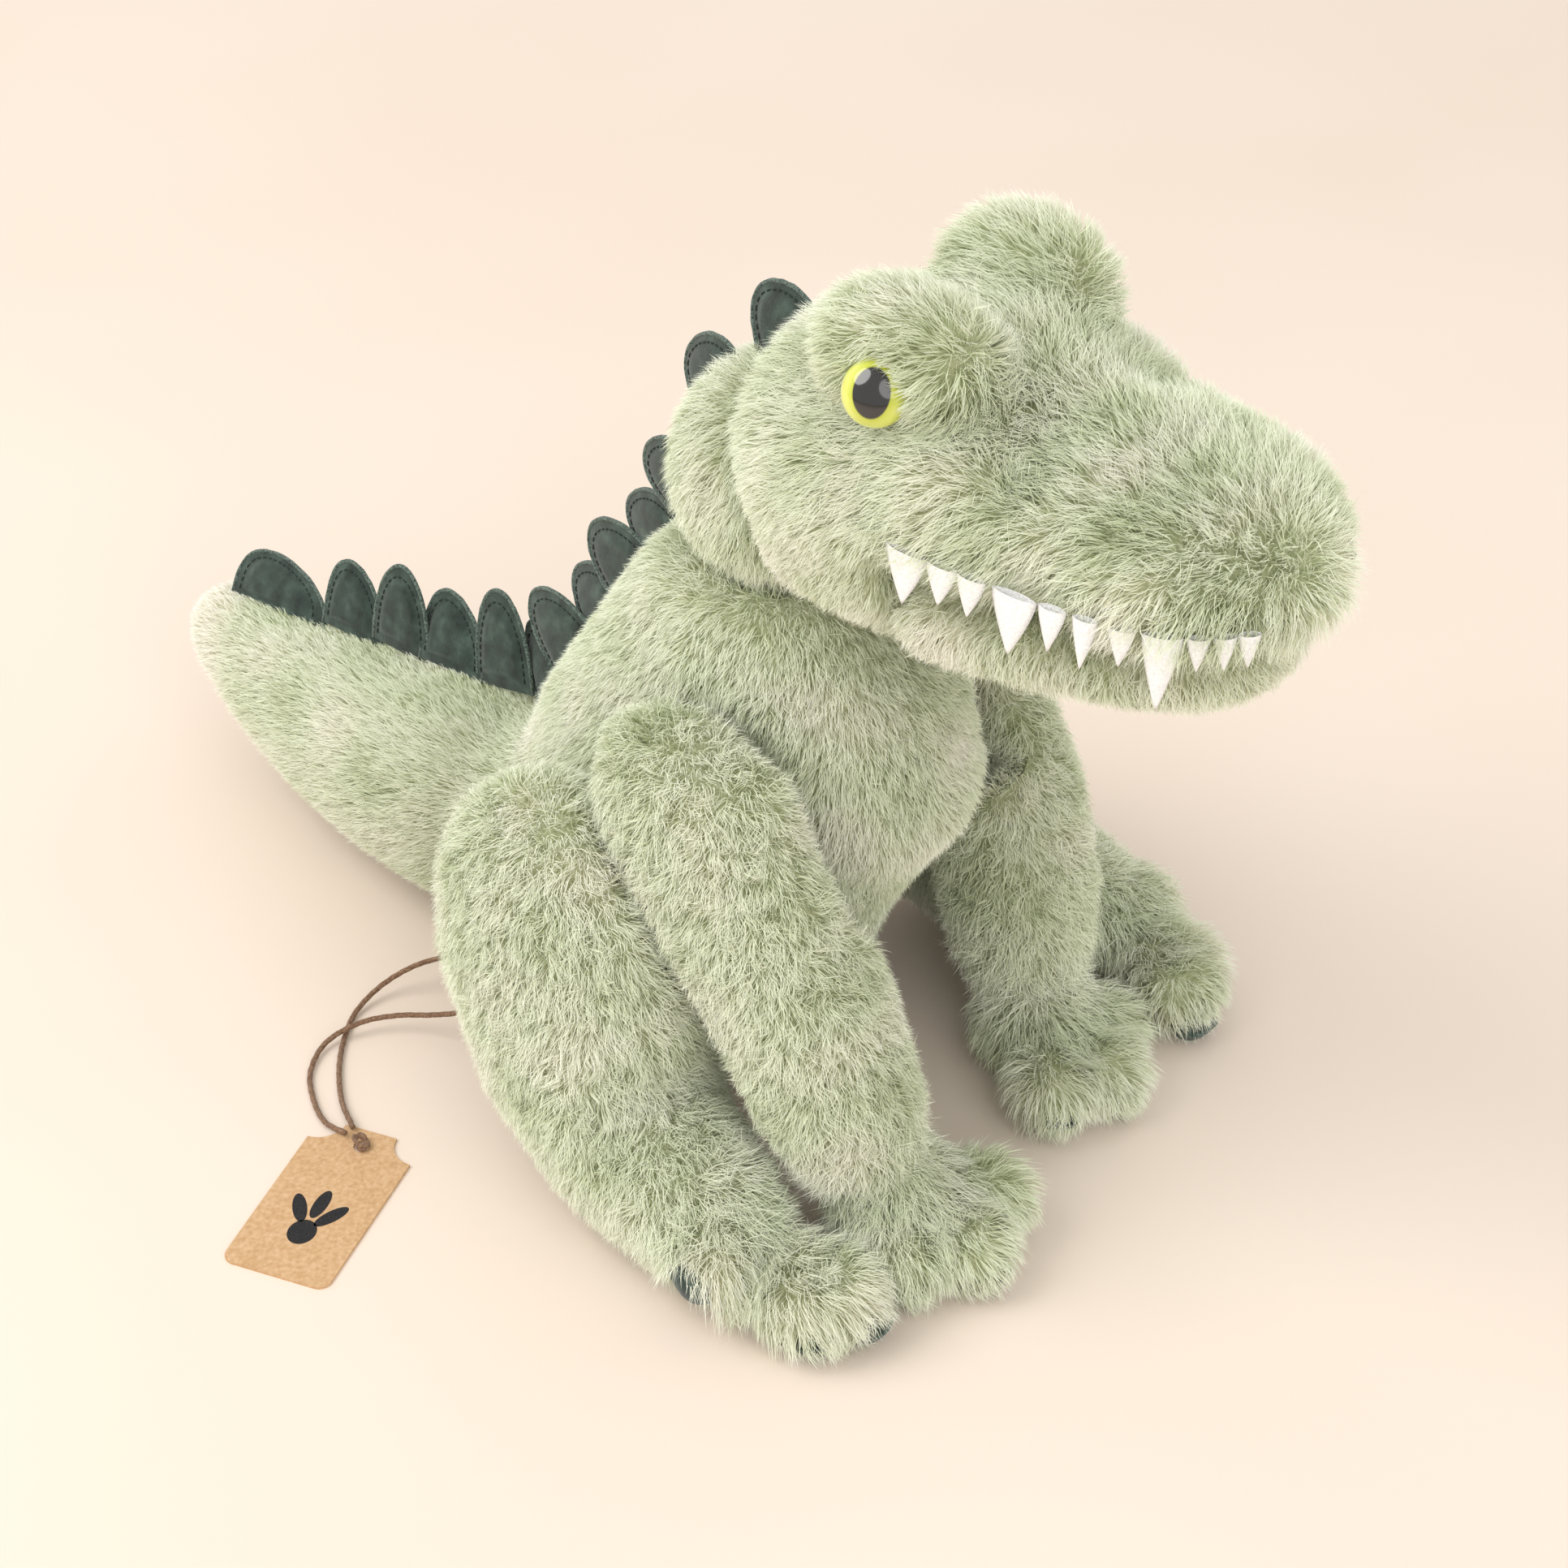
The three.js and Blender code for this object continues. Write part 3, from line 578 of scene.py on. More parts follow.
def leaf_outline(half_base, height, hook):
    """Points round a leaf that stands on its base, from one foot over the tip to the other."""
    angle = math.pi * np.linspace(0, 1, LEAF_POINTS)
    across = -half_base * np.cos(angle) * (1 - 0.10 * np.sin(angle))
    up = height * np.sin(angle) ** 0.72
    across = across + hook * height * (up / height) ** 2
    return np.stack([across, up], 1)


def leaf_centre(outline):
    return np.array([outline[:, 0].mean(), outline[:, 1].max() * LEAF_MIDDLE])


def padded_leaf(outline, thickness, cup, foot):
    """Two layers of suede sewn round a thin pad, as vertices and faces in the leaf's own plane."""
    centre = leaf_centre(outline)
    vertices, faces = [], []
    for face_side in (1, -1):
        start = len(vertices)
        for ring in range(LEAF_RINGS):
            share = ring / (LEAF_RINGS - 1)
            loop = centre + (outline - centre) * share
            bulge = thickness / 2 * (1 - share ** 3) ** 0.6
            seam = 0.35 * thickness * math.exp(-((share - STITCH["share"]) / 0.07) ** 2)
            for across, up in loop:
                fold = cup * (up / max(outline[:, 1].max(), 1e-6)) ** 2
                vertices.append((across, up - foot, face_side * max(bulge - seam, 0.0001) + fold))
        quads = grid_faces(LEAF_RINGS, len(outline))
        if face_side < 0:
            quads = [quad[::-1] for quad in quads]
        faces += [tuple(start + corner for corner in quad) for quad in quads]
    return np.array(vertices), faces


def distances_along(path):
    return np.concatenate([[0], np.cumsum(np.linalg.norm(np.diff(path, axis=0), axis=1))])


def tube(path, radius, sides, ply=0, pitch=0.003, depth=0.0):
    """A tube along points with flat ends; ply twists that many strands together in its surface."""
    path = np.asarray(path, float)
    heading = unit(np.gradient(path, axis=0))
    side = unit(np.cross(heading[0], (0.3, 0.2, 0.93)))
    run = distances_along(path)
    vertices = []
    for index, point in enumerate(path):
        side = unit(side - (side @ heading[index]) * heading[index])
        other = np.cross(heading[index], side)
        for corner in range(sides):
            angle = 2 * math.pi * corner / sides
            twist = 1.0
            if ply:
                phase = ply * (angle - 2 * math.pi * run[index] / (pitch * ply))
                twist = 1 - depth * (1 - abs(math.cos(phase / 2)))
            vertices.append(point + radius * twist * (side * math.cos(angle) + other * math.sin(angle)))
    faces = [face[::-1] for face in grid_faces(len(path), sides)]
    faces.append(tuple(range(sides)))
    faces.append(tuple(range(len(vertices) - 1, len(vertices) - sides - 1, -1)))
    return np.array(vertices), faces


SAME_POINT = 1e-6


def add_parts(name, parts, materials):
    """One piece of several parts, each of which is (vertices, faces, number of its material)."""
    vertices, faces, slots = [], [], []
    for part_vertices, part_faces, slot in parts:
        faces += [tuple(len(vertices) + corner for corner in face) for face in part_faces]
        slots += [slot] * len(part_faces)
        vertices += list(part_vertices)
    piece = add_object(name, mesh_from(name, vertices, faces), materials[0])
    for material in materials[1:]:
        piece.data.materials.append(material)
    piece.data.polygons.foreach_set("material_index", slots)
    build = bmesh.new()
    build.from_mesh(piece.data)
    bmesh.ops.remove_doubles(build, verts=build.verts, dist=SAME_POINT)
    build.to_mesh(piece.data)
    build.free()
    return piece


def suede_leaf(name, place, turn, half_base, height, thickness, cup, foot, hook):
    """A back spike: the padded leaf, its overlocked rim and its row of stitches."""
    outline = leaf_outline(half_base, height + foot, hook)
    top = outline[:, 1].max()
    body, body_faces = padded_leaf(outline, thickness, cup, foot)
    rim_path = np.stack([outline[:, 0], outline[:, 1] - foot, cup * (outline[:, 1] / top) ** 2], 1)
    rim, rim_faces = tube(rim_path, thickness * 0.24, RIM_SIDES, ply=3, pitch=0.0016, depth=0.35)
    parts = [(body, body_faces, 0), (rim, rim_faces, 1)]
    for side in (1, -1):
        parts += stitches(outline, thickness, cup, foot, top, side)
    moved = [(vertices @ turn.T + place, faces, slot) for vertices, faces, slot in parts]
    return add_parts(name, moved, [SUEDE, RIM, THREAD])


def stitches(outline, thickness, cup, foot, top, side):
    """Short raised threads that follow the outline of a leaf, on one face."""
    centre = leaf_centre(outline)
    seam = centre + (outline - centre) * STITCH["share"]
    run = distances_along(seam)
    parts = []
    start = STITCH["gap"]
    while start + STITCH["length"] < run[-1]:
        at = np.linspace(start, start + STITCH["length"], 4)
        across, up = np.interp(at, run, seam[:, 0]), np.interp(at, run, seam[:, 1])
        arch = np.array([0.0, 1.0, 1.0, 0.0]) * STITCH["radius"]
        lift = side * (thickness * 0.16 + arch) + cup * (up / top) ** 2
        threads, faces = tube(np.stack([across, up - foot, lift], 1), STITCH["radius"], 5)
        parts.append((threads, faces, 2))
        start += STITCH["length"] + STITCH["gap"]
    return parts


CLAW = {"rings": 15, "around": 20, "taper": 0.22, "droop": 0.35, "length": 1.08, "width": 1.05, "depth": 1.1,
        "rim_length": 1.10, "rim_width": 1.16, "rim": 0.0005, "seam": 0.10}


def claw_profile(polar, half_depth):
    """How far ahead, how wide and how low a claw is at an angle from its root to its tip."""
    ahead = -math.cos(polar)
    girth = math.sin(polar) ** 0.8 * (1 - CLAW["taper"] * ahead)
    return ahead, girth, -CLAW["droop"] * half_depth * max(ahead, 0) ** 2


def padded_claw(name, node, growth=1.0, lift=0.0):
    """A claw in the place of its solid: a rounded pad with a seam round its edge, drooping at the tip."""
    points = points_of(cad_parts[node].data)
    middle = points.mean(0)
    axes = np.linalg.svd(points - middle, full_matrices=False)[2]
    root = PAW_CENTRES[node[:-1]]
    along = axes[0] if (middle - root) @ axes[0] > 0 else -axes[0]
    up = axes[2] if axes[2][2] > 0 else -axes[2]
    side = np.cross(up, along)
    basis = np.stack([along, side, up], 1)
    local = (points - middle) @ basis
    low, high = local.min(0), local.max(0)
    half = (high - low) / 2 * growth
    centre = middle + basis @ ((high + low) / 2) + np.array([0, 0, lift])
    vertices = []
    for ring in range(CLAW["rings"]):
        ahead, girth, bend = claw_profile(math.pi * ring / (CLAW["rings"] - 1), half[2])
        for corner in range(CLAW["around"]):
            angle = 2 * math.pi * corner / CLAW["around"]
            across = math.cos(angle) * girth
            above = math.sin(angle) * girth
            seam = 1 + CLAW["seam"] * math.exp(-(math.sin(angle) / 0.18) ** 2)
            vertices.append((ahead * half[0] * CLAW["length"], across * half[1] * seam * CLAW["width"],
                             above * half[2] * CLAW["depth"] + bend))
    vertices = np.array(vertices) @ basis.T + centre
    vertices[:, 2] = np.maximum(vertices[:, 2], FLOOR_CLEARANCE)
    seam_angles = np.linspace(0.12, 1, 20) * math.pi
    edge = []
    for direction in (1, -1):
        for polar in seam_angles[::direction]:
            ahead, girth, bend = claw_profile(polar, half[2])
            across = direction * girth * half[1]
            edge.append((ahead * half[0] * CLAW["rim_length"], across * CLAW["rim_width"], bend))
    edge = np.array(edge) @ basis.T + centre
    edge[:, 2] = np.maximum(edge[:, 2], FLOOR_CLEARANCE + CLAW["rim"])
    rim, rim_faces = tube(edge, CLAW["rim"], RIM_SIDES)
    pad_faces = grid_faces(CLAW["rings"], CLAW["around"])
    return add_parts(name, [(vertices, pad_faces, 0), (rim, rim_faces, 1)], [SUEDE, RIM])


def felt_tooth(base, across, outwards, width, length, thickness, lean):
    """A plump triangle of doubled felt that hangs from its base line."""
    rows, columns = 10, 9
    down = unit(np.array([0, 0, -1.0]) + lean * outwards)
    vertices = []
    for face_side in (1, -1):
        for row in range(rows):
            share = row / (rows - 1)
            half = width / 2 * (1 - share ** 1.4) + 0.0004 * (1 - share)
            for column in range(columns):
                place = 2 * column / (columns - 1) - 1
                pad = thickness / 2 * (1 - abs(place) ** 2.5) * (1 - share ** 3)
                on_face = base + across * half * place + down * length * share
                vertices.append(on_face + outwards * face_side * pad)
    faces = grid_faces(rows, columns, closed=False)
    back = [tuple(corner + rows * columns for corner in face[::-1]) for face in faces]
    return np.array(vertices), faces + back


DOME = {"rings": 20, "around": 40, "rim_angle": 0.62 * math.pi}


def dome(name, centre, aim, radius, height, material):
    """A glossy eye button with its face map, bulging along its aim."""
    aim = unit(aim)
    side = unit(np.cross((0, 0, 1), aim))
    up = np.cross(aim, side)
    vertices, uv = [], []
    for ring in range(DOME["rings"]):
        polar = DOME["rim_angle"] * ring / (DOME["rings"] - 1)
        for corner in range(DOME["around"]):
            angle = 2 * math.pi * corner / DOME["around"]
            across = math.sin(polar) * math.cos(angle)
            lift = math.sin(polar) * math.sin(angle)
            vertices.append(centre + radius * (side * across + up * lift) + height * aim * math.cos(polar))
            uv.append((0.5 + 0.5 * across, 0.5 + 0.5 * lift))
    mesh = mesh_from(name, vertices, [face[::-1] for face in grid_faces(DOME["rings"], DOME["around"])])
    layer = mesh.uv_layers.new(name=PALETTE)
    corners = np.empty(len(mesh.loops), np.int32)
    mesh.loops.foreach_get("vertex_index", corners)
    layer.data.foreach_set("uv", np.array(uv, np.float32)[corners].ravel())
    return add_object(name, mesh, material)


def smooth_path(points, spacing):
    """Points along a centripetal Catmull-Rom curve through the given points."""
    points = np.asarray(points, float)
    points = np.vstack([2 * points[0] - points[1], points, 2 * points[-1] - points[-2]])
    path = []
    for before, start, end, after in zip(points, points[1:], points[2:], points[3:]):
        spans = [(before, start), (start, end), (end, after)]
        knots = np.cumsum([0] + [np.linalg.norm(b - a) ** 0.5 for a, b in spans])

        def between(t, low, high, a, b):
            return ((knots[high] - t) * a + (t - knots[low]) * b) / (knots[high] - knots[low])

        steps = max(2, int(np.linalg.norm(end - start) / spacing))
        for t in np.linspace(knots[1], knots[2], steps, endpoint=False):
            line = [between(t, i, i + 1, a, b) for i, (a, b) in enumerate(spans)]
            arc = [between(t, i, i + 2, line[i], line[i + 1]) for i in range(2)]
            path.append(between(t, 1, 2, *arc))
    path.append(points[-2])
    return np.array(path)


# ---------- the toy ----------
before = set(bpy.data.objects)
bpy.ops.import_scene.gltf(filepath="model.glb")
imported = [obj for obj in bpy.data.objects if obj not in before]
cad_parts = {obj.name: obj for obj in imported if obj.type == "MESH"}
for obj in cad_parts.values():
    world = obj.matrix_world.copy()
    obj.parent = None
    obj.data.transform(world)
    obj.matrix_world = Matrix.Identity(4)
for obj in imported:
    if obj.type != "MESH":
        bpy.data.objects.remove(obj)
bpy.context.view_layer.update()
add_camera()

FUR_ROOTS = [(0.0, srgb(156, 162, 112)), (0.45, srgb(196, 206, 162)), (1.0, srgb(240, 234, 212))]
FUR_TIPS = [(0.0, srgb(214, 224, 186)), (0.45, srgb(244, 250, 228)), (1.0, srgb(255, 253, 246))]
FUR = make_fur_material("plush_pile", FUR_ROOTS, FUR_TIPS)
BACKING = make_backing_material()
SUEDE = make_suede_material()
RIM = make_knit_rim_material()
THREAD = make_thread_material()
FELT = make_felt_material()
CARD = make_card_material()
INK = make_ink_material()
TWINE = make_twine_material()
EYE_PLASTIC = make_eye_material()

PAW_CENTRES = {  # of the hands and feet, by the claws on them
    "finger_claw_r": np.array([-0.049, -0.066, 0.019]),
    "finger_claw_l": np.array([0.043, -0.053, 0.019]),
    "toe_claw_r": np.array([-0.095, -0.050, 0.018]),
    "toe_claw_l": np.array([0.095, -0.050, 0.018]),
}

# Twine: the routes of the two strands, and the knot that holds them on the tag, in millimetres.
TWINE_WIDTH = 1.9 * MM
TWINE_ROUTES = {
    "twine_strand_1": [
        (-41.5, 95, 17), (-47, 103, 18), (-53, 113, 16), (-62, 125, 11), (-73, 132, 5),
        (-85, 132, 1.6), (-96, 126, 1.2), (-107, 117, 1.2), (-118, 104, 1.6), (-124.6, 92, 2.8),
    ],
    "twine_strand_2": [
        (-43.5, 91, 13), (-52, 91, 15), (-62, 91, 15), (-70, 95, 13), (-75, 105, 9), (-81, 116, 6.5),
        (-90, 124, 5), (-102, 128, 2.4), (-114, 123, 1.2), (-123, 112, 1.2), (-128, 101, 1.8),
        (-127.8, 92, 2.8),
    ],
}


def add_twine():
    pieces = {}
    for name, route in TWINE_ROUTES.items():
        path = smooth_path(np.array(route) * MM, 0.0009)
        vertices, faces = tube(path, TWINE_WIDTH / 2, 12, ply=3, pitch=0.0042, depth=0.22)
        piece = add_object(name.replace("strand", "cord"), mesh_from(name, vertices, faces), TWINE)
        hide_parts(name)
        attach(piece, "torso")
        pieces[name] = (piece, path)
    return pieces


def box_centre(node):
    low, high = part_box(node)
    return (np.array(low) + np.array(high)) / 2


def add_knot():
    """Two tight turns of twine lying over each other."""
    centre = box_centre("twine_knot")
    parts = []
    for start, tilt in ((0.0, 0.5), (2.1, -0.6)):
        turns = np.linspace(0, 2 * math.pi * 0.92, 40) + start
        ring = np.stack([
            0.0026 * np.cos(turns),
            0.0016 * np.sin(turns),
            0.0009 * np.sin(turns + 1.2) + 0.0004 * tilt,
        ], 1)
        along = math.radians(75 + 40 * tilt)
        turn = np.array(Matrix.Rotation(along, 3, "Z"))
        vertices, faces = tube(ring @ turn.T + centre, TWINE_WIDTH * 0.42, 10, ply=3, pitch=0.004, depth=0.22)
        parts.append((vertices, faces, 0))
    piece = add_parts("twine_tie", parts, [TWINE])
    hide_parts("twine_knot")
    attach(piece, "torso")
    return piece


TAG = {"thickness": 0.0009, "centre": (-0.152, 0.077), "turn": math.radians(19)}
INK_GAP = 0.00004
INK_DEPTH = 0.00005
PRINT_HEEL = -0.014  # place of the footprint's heel along the card
PRINT_TOES = [(-0.55, 0.0105), (0.0, 0.0125), (0.55, 0.0105)]  # angle and distance from the heel


def tag_place(across, along, lift):
    turn, (x, y) = TAG["turn"], TAG["centre"]
    return (x + along * math.cos(turn) - across * math.sin(turn),
            y + along * math.sin(turn) + across * math.cos(turn), lift)


def flat_plate(name, outline, low, high, material):
    """A level plate, from a closed outline on the tag."""
    build = bmesh.new()
    corners = [build.verts.new(tag_place(across, along, low)) for across, along in outline]
    edges = [build.edges.new((a, b)) for a, b in zip(corners, corners[1:] + corners[:1])]
    bmesh.ops.triangle_fill(build, edges=edges, use_beauty=True)
    sheet = bmesh.ops.extrude_face_region(build, geom=build.faces[:])
    top = [item for item in sheet["geom"] if isinstance(item, bmesh.types.BMVert)]
    bmesh.ops.translate(build, verts=top, vec=(0, 0, high - low))
    bmesh.ops.recalc_face_normals(build, faces=build.faces)
    mesh = bpy.data.meshes.new(name)
    build.to_mesh(mesh)
    build.free()
    return add_object(name, mesh, material)


def oval(centre, radii, turn, count=28):
    return [(
        centre[0] + radii[0] * math.cos(a) * math.cos(turn) - radii[1] * math.sin(a) * math.sin(turn),
        centre[1] + radii[0] * math.cos(a) * math.sin(turn) + radii[1] * math.sin(a) * math.cos(turn),
    ) for a in (2 * math.pi * step / count for step in range(count))]


def add_tag():
    """The card, with a generic three-toed footprint printed on it."""
    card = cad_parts["hang_tag"]
    card.data.materials.clear()
    card.data.materials.append(CARD)
    prints = [oval((0, PRINT_HEEL), (0.0045, 0.0052), 0)]
    for turn, reach in PRINT_TOES:
        middle = (math.sin(turn) * reach, PRINT_HEEL + math.cos(turn) * reach)
        prints.append(oval(middle, (0.0023, 0.0062), -turn))
    top = TAG["thickness"] + INK_GAP
    for number, outline in enumerate(prints, 1):
        piece = flat_plate(f"tag_print_{number}", outline, top, top + INK_DEPTH, INK)
        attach(piece, "torso")
    return card


def add_cord_set():
    twine = add_twine()
    tied = [add_knot(), add_tag()]


add_cord_set()


# Combing: the way the pile lies at a point, before it is laid flat on the skin.
def comb_towards(direction):
    return lambda points: np.broadcast_to(np.array(direction, float), points.shape).copy()


def comb_head(points):
    """Back along the snout and crown, and down over the cheeks and lips."""
    away = points - np.array([0, -0.165, 0.262])
    flow = unit(away)
    flow[:, 2] -= 0.55 + 0.5 * ramp(0.262 - points[:, 2], -0.01, 0.03)
    return unit(flow)


def comb_from(centre, direction, spread):
    """Outwards from a centre, and along a direction."""
    def comb(points):
        return spread * unit(points - np.array(centre)) + np.array(direction)
    return comb


def add_skin(name, nodes, body, inset, smoothing, fill, pile, seed, joint=None, mounds=(), bridges=()):
    """A stuffed piece of the toy with its pile. A joint is (body it bends towards, start, end); its values
    are not used, and a piece given one is not bent but left unparented with its transform applied.
    """
    skin = solid_skin(name, nodes, BACKING, inset, smoothing, bridges)
    stuff(skin, fill)
    swell(skin, mounds)
    fur = grow(name.replace("_skin", "_pile"), skin, pile, FUR, seed)
    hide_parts(*nodes)
    for piece in (skin, fur):
        if joint:
            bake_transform(piece)
        else:
            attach(piece, body)


EYE_RADIUS = 0.0092
EYE_HEIGHT = 0.0062
EYE_SUNK = 0.0004
EYES = {
    side: (np.array([sign * 0.042, -0.048, 0.289]), unit([sign * 0.8, -0.36, 0.46]))
    for side, sign in SIDES.items()
}


def near_eyes(points, radius):
    return sum(near(points, centre, radius) for centre, _ in EYES.values())


def keep_clear_of_eyes(points):
    reach = EYE_RADIUS + 0.0006
    hidden = sum(np.linalg.norm(points - centre, axis=1) < reach for centre, _ in EYES.values())
    return np.where(hidden, 0.0, 1.0)


def head_length(points):
    lip_fringe = 0.55 * np.exp(-((points[:, 2] - 0.251) / 0.006) ** 2) * ramp(-points[:, 1], 0.045, 0.060)
    above_lip = ramp(points[:, 2], 0.236, 0.256)
    return (0.6 + 0.4 * above_lip + lip_fringe) * (1 - 0.5 * np.clip(near_eyes(points, 0.022), 0, 1))


def back_length(points):
    """Short along the crest, so that the spikes stand clear of the pile."""
    return 1 - 0.55 * np.exp(-(points[:, 0] / 0.012) ** 2) * ramp(points[:, 1], 0.02, 0.05)


def paw_length(centre, radius, extra):
    """Longer round a hand or foot."""
    return lambda points: 1 + extra * near(points, centre, radius)


def digit_mounds(tips, shift=(0, 0, 0)):
    """A plump mound over each finger or toe, and a dip between neighbours, from the tips in millimetres."""
    tips = (np.array(tips) + shift) * MM
    dips = (tips[1:] + tips[:-1]) / 2 + (0, 0.004, 0.008)
    return [(tip, 0.017, 0.006) for tip in tips] + [(dip, 0.009, -0.005) for dip in dips]


def clear_of_claw(node, radius):
    """Keeps the pile off a claw that lies on top of its toe."""
    centre = box_centre(node)
    return lambda points: np.where(np.linalg.norm(points - centre, axis=1) < radius, 0.0, 1.0)


def both_sides(mounds):
    """The given mounds, and the same ones on the other side."""
    return [((sign * x, y, z), *size) for (x, y, z), *size in mounds for sign in SIDES.values()]


HEAD_MOUNDS = [
    ((0, -0.150, 0.256), 0.045, 0.006),  # nose
    ((0, -0.062, 0.290), 0.026, 0.004),  # crown
    ((0.034, -0.072, 0.306), 0.030, -0.005),  # the left brow is flatter than the right one
    *both_sides([
        ((0.042, -0.070, 0.264), 0.027, 0.006),  # cheek under the eye
        ((0.034, -0.128, 0.256), 0.030, 0.005),  # upper lip
        ((0.044, -0.094, 0.252), 0.022, 0.004),  # upper lip, further back
        ((0.020, -0.092, 0.284), 0.020, -0.006),  # valley in front of the brow
        ((0.030, -0.088, 0.274), 0.012, -0.005),  # valley between the cheek and the snout
        ((0.050, -0.030, 0.250), 0.030, 0.003),  # jaw muscle
    ]),
]


def comb_body(points):
    """Down the torso, and along the tail towards its tip."""
    share = ramp(points[:, 1], 0.085, 0.130)[:, None]
    return (1 - share) * np.array([0, 0.15, -1.0]) + share * np.array([0, 1.0, -0.15])


TAIL_BEND = ("tail", (0, 0.070, 0.048), (0, 0.130, 0.048))
TAIL_BRIDGES = [((0, 0.100, 0.047), (0.047, 0.050, 0.046)), ((0, 0.084, 0.072), (0.046, 0.040, 0.032))]
TAIL_TIP = (0.250, 0.285)  # y over which the tail's pile turns paler


def add_body():
    """One fabric from the shoulders to the tip of the tail."""
    pile = Pile(0.0078, comb_body, length_at=back_length,
                tone_at=lambda points: 0.5 * ramp(points[:, 1], *TAIL_TIP))
    add_skin("body_skin", ["torso_cover", "torso_filling", "bean_bag", "tail_cover", "tail_filling"], "torso",
             inset=0.003, smoothing=18, fill=0.7, pile=pile, seed=11, joint=TAIL_BEND, bridges=TAIL_BRIDGES)


def add_neck():
    pile = Pile(0.0090, comb_towards((0, 0.15, -1)))
    add_skin("neck_skin", ["neck_filling"], "neck", inset=0.001, smoothing=2, fill=0.5, pile=pile, seed=14)


def add_head():
    pile = Pile(0.0100, comb_head, lay=0.80, clump=0.4, droop=0.12, stray=0.55,
                length_at=head_length, keep_at=keep_clear_of_eyes)
    add_skin("head_skin", ["head_cover", "head_filling", "brow_r", "brow_l"], "head",
             inset=0.003, smoothing=9, fill=0.8, pile=pile, seed=12, mounds=HEAD_MOUNDS)


def add_jaw():
    pile = Pile(0.0080, comb_from((0, -0.06, 0.235), (0, 0.2, -0.6), 0.6), tone=0.62)
    add_skin("jaw_skin", ["jaw_cover", "jaw_filling"], "head",
             inset=0.003, smoothing=8, fill=0.7, pile=pile, seed=13)


# Tips of the right hand's fingers and the right foot's toes, in millimetres.
FINGERS = [(-63, -82, 12), (-47, -96, 12), (-28, -89, 15)]
TOES = [(-106, -46, 18), (-98, -74, 12), (-87, -80, 12)]
ARM_SHIFTS = {"r": (0, 0, 0), "l": (-6, 13, 0)}


def on_side(tips, sign):
    return [(-sign * x, y, z) for x, y, z in tips]


def add_arm(side, sign):
    hand = PAW_CENTRES["finger_claw_" + side]
    pile = Pile(0.0088, comb_from(hand, (0, -0.3, -0.8), 0.5), clump=0.45, droop=0.1,
                length_at=paw_length(hand, 0.060, 0.75))
    add_skin(f"arm_{side}_skin", [f"arm_{side}_cover", f"arm_{side}_filling"], f"arm_{side}",
             inset=0.0028, smoothing=7, fill=0.6, pile=pile, seed=21 + sign,
             mounds=digit_mounds(on_side(FINGERS, sign), ARM_SHIFTS[side]))


def add_leg(side, sign):
    foot = PAW_CENTRES["toe_claw_" + side]
    pile = Pile(0.0088, comb_from(foot, (0, -0.4, -0.7), 0.35), clump=0.45, droop=0.1, tone=0.52,
                length_at=paw_length(foot, 0.055, 0.75), keep_at=clear_of_claw(f"toe_claw_{side}1", 0.0095))
    add_skin(f"leg_{side}_skin", [f"leg_{side}_cover", f"leg_{side}_filling"], f"leg_{side}",
             inset=0.003, smoothing=8, fill=0.65, pile=pile, seed=31 + sign,
             mounds=digit_mounds(on_side(TOES, sign)))


def add_eye(side):
    centre, aim = EYES[side]
    eye = dome(f"eye_button_{side}", centre - EYE_SUNK * aim, aim, EYE_RADIUS, EYE_HEIGHT, EYE_PLASTIC)
    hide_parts(f"eye_{side}", f"eye_washer_{side}")
    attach(eye, "head")


TOP_CLAW = {"growth": 1.4, "lift": 0.005}  # a foot's first claw lies on top


def add_claws(side, limb, group):
    for number in (1, 2, 3):
        node = f"{group}_{side}{number}"
        size = TOP_CLAW if group == "toe_claw" and number == 1 else {}
        claw = padded_claw(f"{group}_{side}_pad_{number}", node, **size)
        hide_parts(node)
        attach(claw, f"{limb}_{side}")


add_body()
add_neck()
add_head()
add_jaw()
for side, sign in SIDES.items():
    add_arm(side, sign)
    add_leg(side, sign)
    add_eye(side)
    add_claws(side, "arm", "finger_claw")
    add_claws(side, "leg", "toe_claw")

# Back spikes: [carrier, y, z, degrees above +Y of the way it points, base length, height, lean, hook].
SPIKES = [
    ("head", 15, 262, 52, 24, 15, 14, 0.3),
    ("neck", 42, 238, 28, 24, 15, 16, 0.3),
    ("neck", 46, 216, -8, 18, 14, 20, 0.3),
    ("torso", 55, 197, 14, 22, 19, 10, 0.2),
    ("torso", 64, 174, 20, 22, 20, 16, 0.3),
    ("torso", 76, 152, 28, 26, 23, 10, 0.2),
    ("torso", 89, 131, 32, 24, 22, 20, 0.3),
    ("torso", 104, 111, 38, 26, 23, 8, 0.2),
    ("torso", 115, 95, 50, 20, 20, 20, 0.3),
    ("tail", 139, 87, 76, 22, 24, 12, 0.1),
    ("tail", 164, 83, 84, 25, 18, 20, 0.3),
    ("tail", 189, 79, 90, 22, 22, 8, 0.1),
    ("tail", 213, 75, 88, 24, 17, 18, 0.3),
    ("tail", 251, 69, 84, 40, 12, 32, 0.6),
]
SPIKE_THICKNESS = 0.0034
SPIKE_FOOT = 0.003
SPIKE_CUP = 0.003
SPIKE_GROWTH = {"base": 1.2, "height": 1.25}  # of the petals over their solids


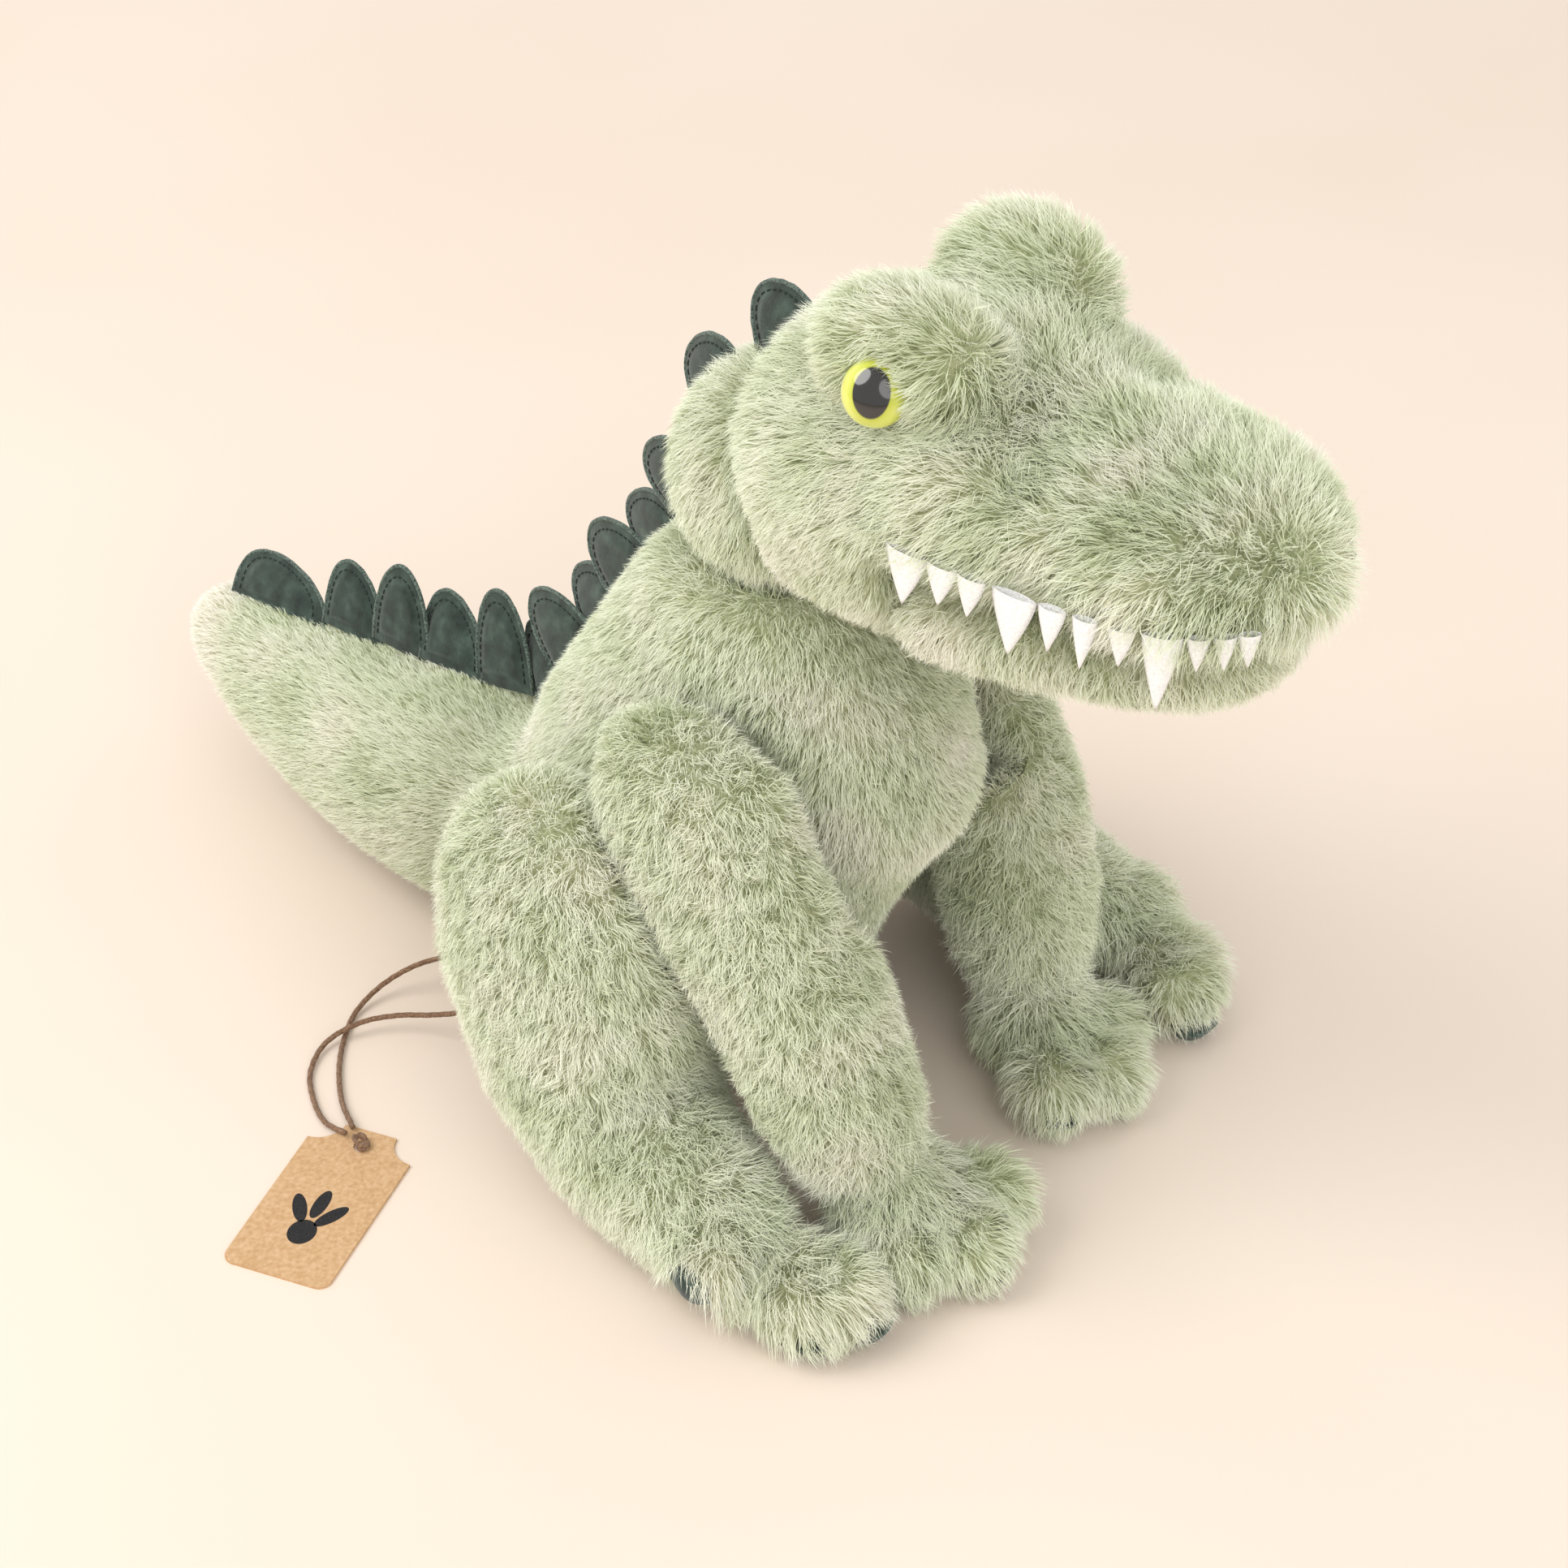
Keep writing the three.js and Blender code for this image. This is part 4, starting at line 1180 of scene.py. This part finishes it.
def add_crest():
    counts = {}
    for carrier, y, z, aim, base, height, lean, hook in SPIKES:
        counts[carrier] = counts.get(carrier, 0) + 1
        outwards = np.array([0, math.cos(math.radians(aim)), math.sin(math.radians(aim))])
        turn = local_frame(outwards, (1, 0, 0), math.radians(lean))
        half_base = base * MM / 2 * SPIKE_GROWTH["base"]
        spike = suede_leaf(f"{carrier}_crest_{counts[carrier]}", np.array([0, y, z]) * MM, turn, half_base,
                           height * MM * SPIKE_GROWTH["height"], SPIKE_THICKNESS, SPIKE_CUP, SPIKE_FOOT, hook)
        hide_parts(f"{carrier}_spike_{counts[carrier]}")
        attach(spike, carrier)


add_crest()

# Teeth: [place along the lip, width, length], and the line of the right lip, in millimetres.
LIP_LINE = [(-47.5, -60), (-47.5, -84), (-46.5, -108), (-43, -130), (-35, -146), (-24, -157)]
TEETH = [(0.04, 12, 13), (0.15, 9, 9), (0.24, 8, 9), (0.36, 12, 15), (0.47, 7, 10), (0.56, 6, 12),
         (0.65, 6, 8), (0.76, 9, 19), (0.85, 5, 7), (0.92, 5, 7), (0.98, 5, 7)]
LIP_HEIGHT = 0.247
LIP_MIDDLE = np.array([0, -0.09, LIP_HEIGHT])
TOOTH = {"growth": 1.1, "extra": 0.003, "thickness": 0.0028, "lean": 0.10, "above_lip": 0.0045}


def add_teeth(side, sign):
    line = smooth_path([(-sign * x * MM, y * MM, LIP_HEIGHT) for x, y in LIP_LINE], 0.001)
    run = distances_along(line)
    parts = []
    for share, width, length in TEETH:
        index = int(np.searchsorted(run, share * run[-1]))
        index = min(max(index, 1), len(line) - 2)
        across = unit(line[index + 1] - line[index - 1])
        outwards = unit(np.cross(across, (0, 0, 1)))
        outwards = outwards if outwards @ (line[index] - LIP_MIDDLE) > 0 else -outwards
        base = line[index] + outwards * (0.002 - 0.005 * share) + np.array([0, 0, TOOTH["above_lip"]])
        vertices, faces = felt_tooth(base, across, outwards, width * MM * TOOTH["growth"],
                                     length * MM + TOOTH["extra"], TOOTH["thickness"], TOOTH["lean"])
        parts.append((vertices, faces, 0))
    teeth = add_parts(f"felt_teeth_{side}", parts, [FELT])
    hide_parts(f"teeth_{side}")
    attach(teeth, "head")


for side, sign in SIDES.items():
    add_teeth(side, sign)


# ---------- studio ----------
FLOOR_HALF_WIDTH = 14
LIGHT_TARGET = (0, 0, 0.12)
DAYLIGHT = 0.80


def add_floor():
    build = bmesh.new()
    bmesh.ops.create_grid(build, x_segments=1, y_segments=1, size=FLOOR_HALF_WIDTH)
    mesh = bpy.data.meshes.new("studio_floor")
    build.to_mesh(mesh)
    build.free()
    add_object("studio_floor", mesh, make_floor_material())


def add_light(name, place, size, power, colour):
    data = bpy.data.lights.new(name, "AREA")
    data.shape = "DISK"
    data.size = size
    data.energy = power
    data.color = colour
    light = bpy.data.objects.new(name, data)
    light.location = place
    light.rotation_euler = (Vector(LIGHT_TARGET) - Vector(place)).to_track_quat("-Z", "Y").to_euler()
    bpy.context.scene.collection.objects.link(light)


def add_studio():
    add_floor()
    add_light("key", (-1.1, 0.9, 1.7), 1.5, 22, (1.0, 0.98, 0.95))
    add_light("fill", (-0.9, -1.5, 1.5), 1.8, 14, (1.0, 0.99, 0.98))
    world = bpy.data.worlds.new("studio")
    world.use_nodes = True
    world.node_tree.nodes["Background"].inputs["Color"].default_value = (1.0, 0.98, 0.95, 1)
    world.node_tree.nodes["Background"].inputs["Strength"].default_value = DAYLIGHT
    bpy.context.scene.world = world
    bpy.context.scene.view_settings.view_transform = "Standard"


add_studio()
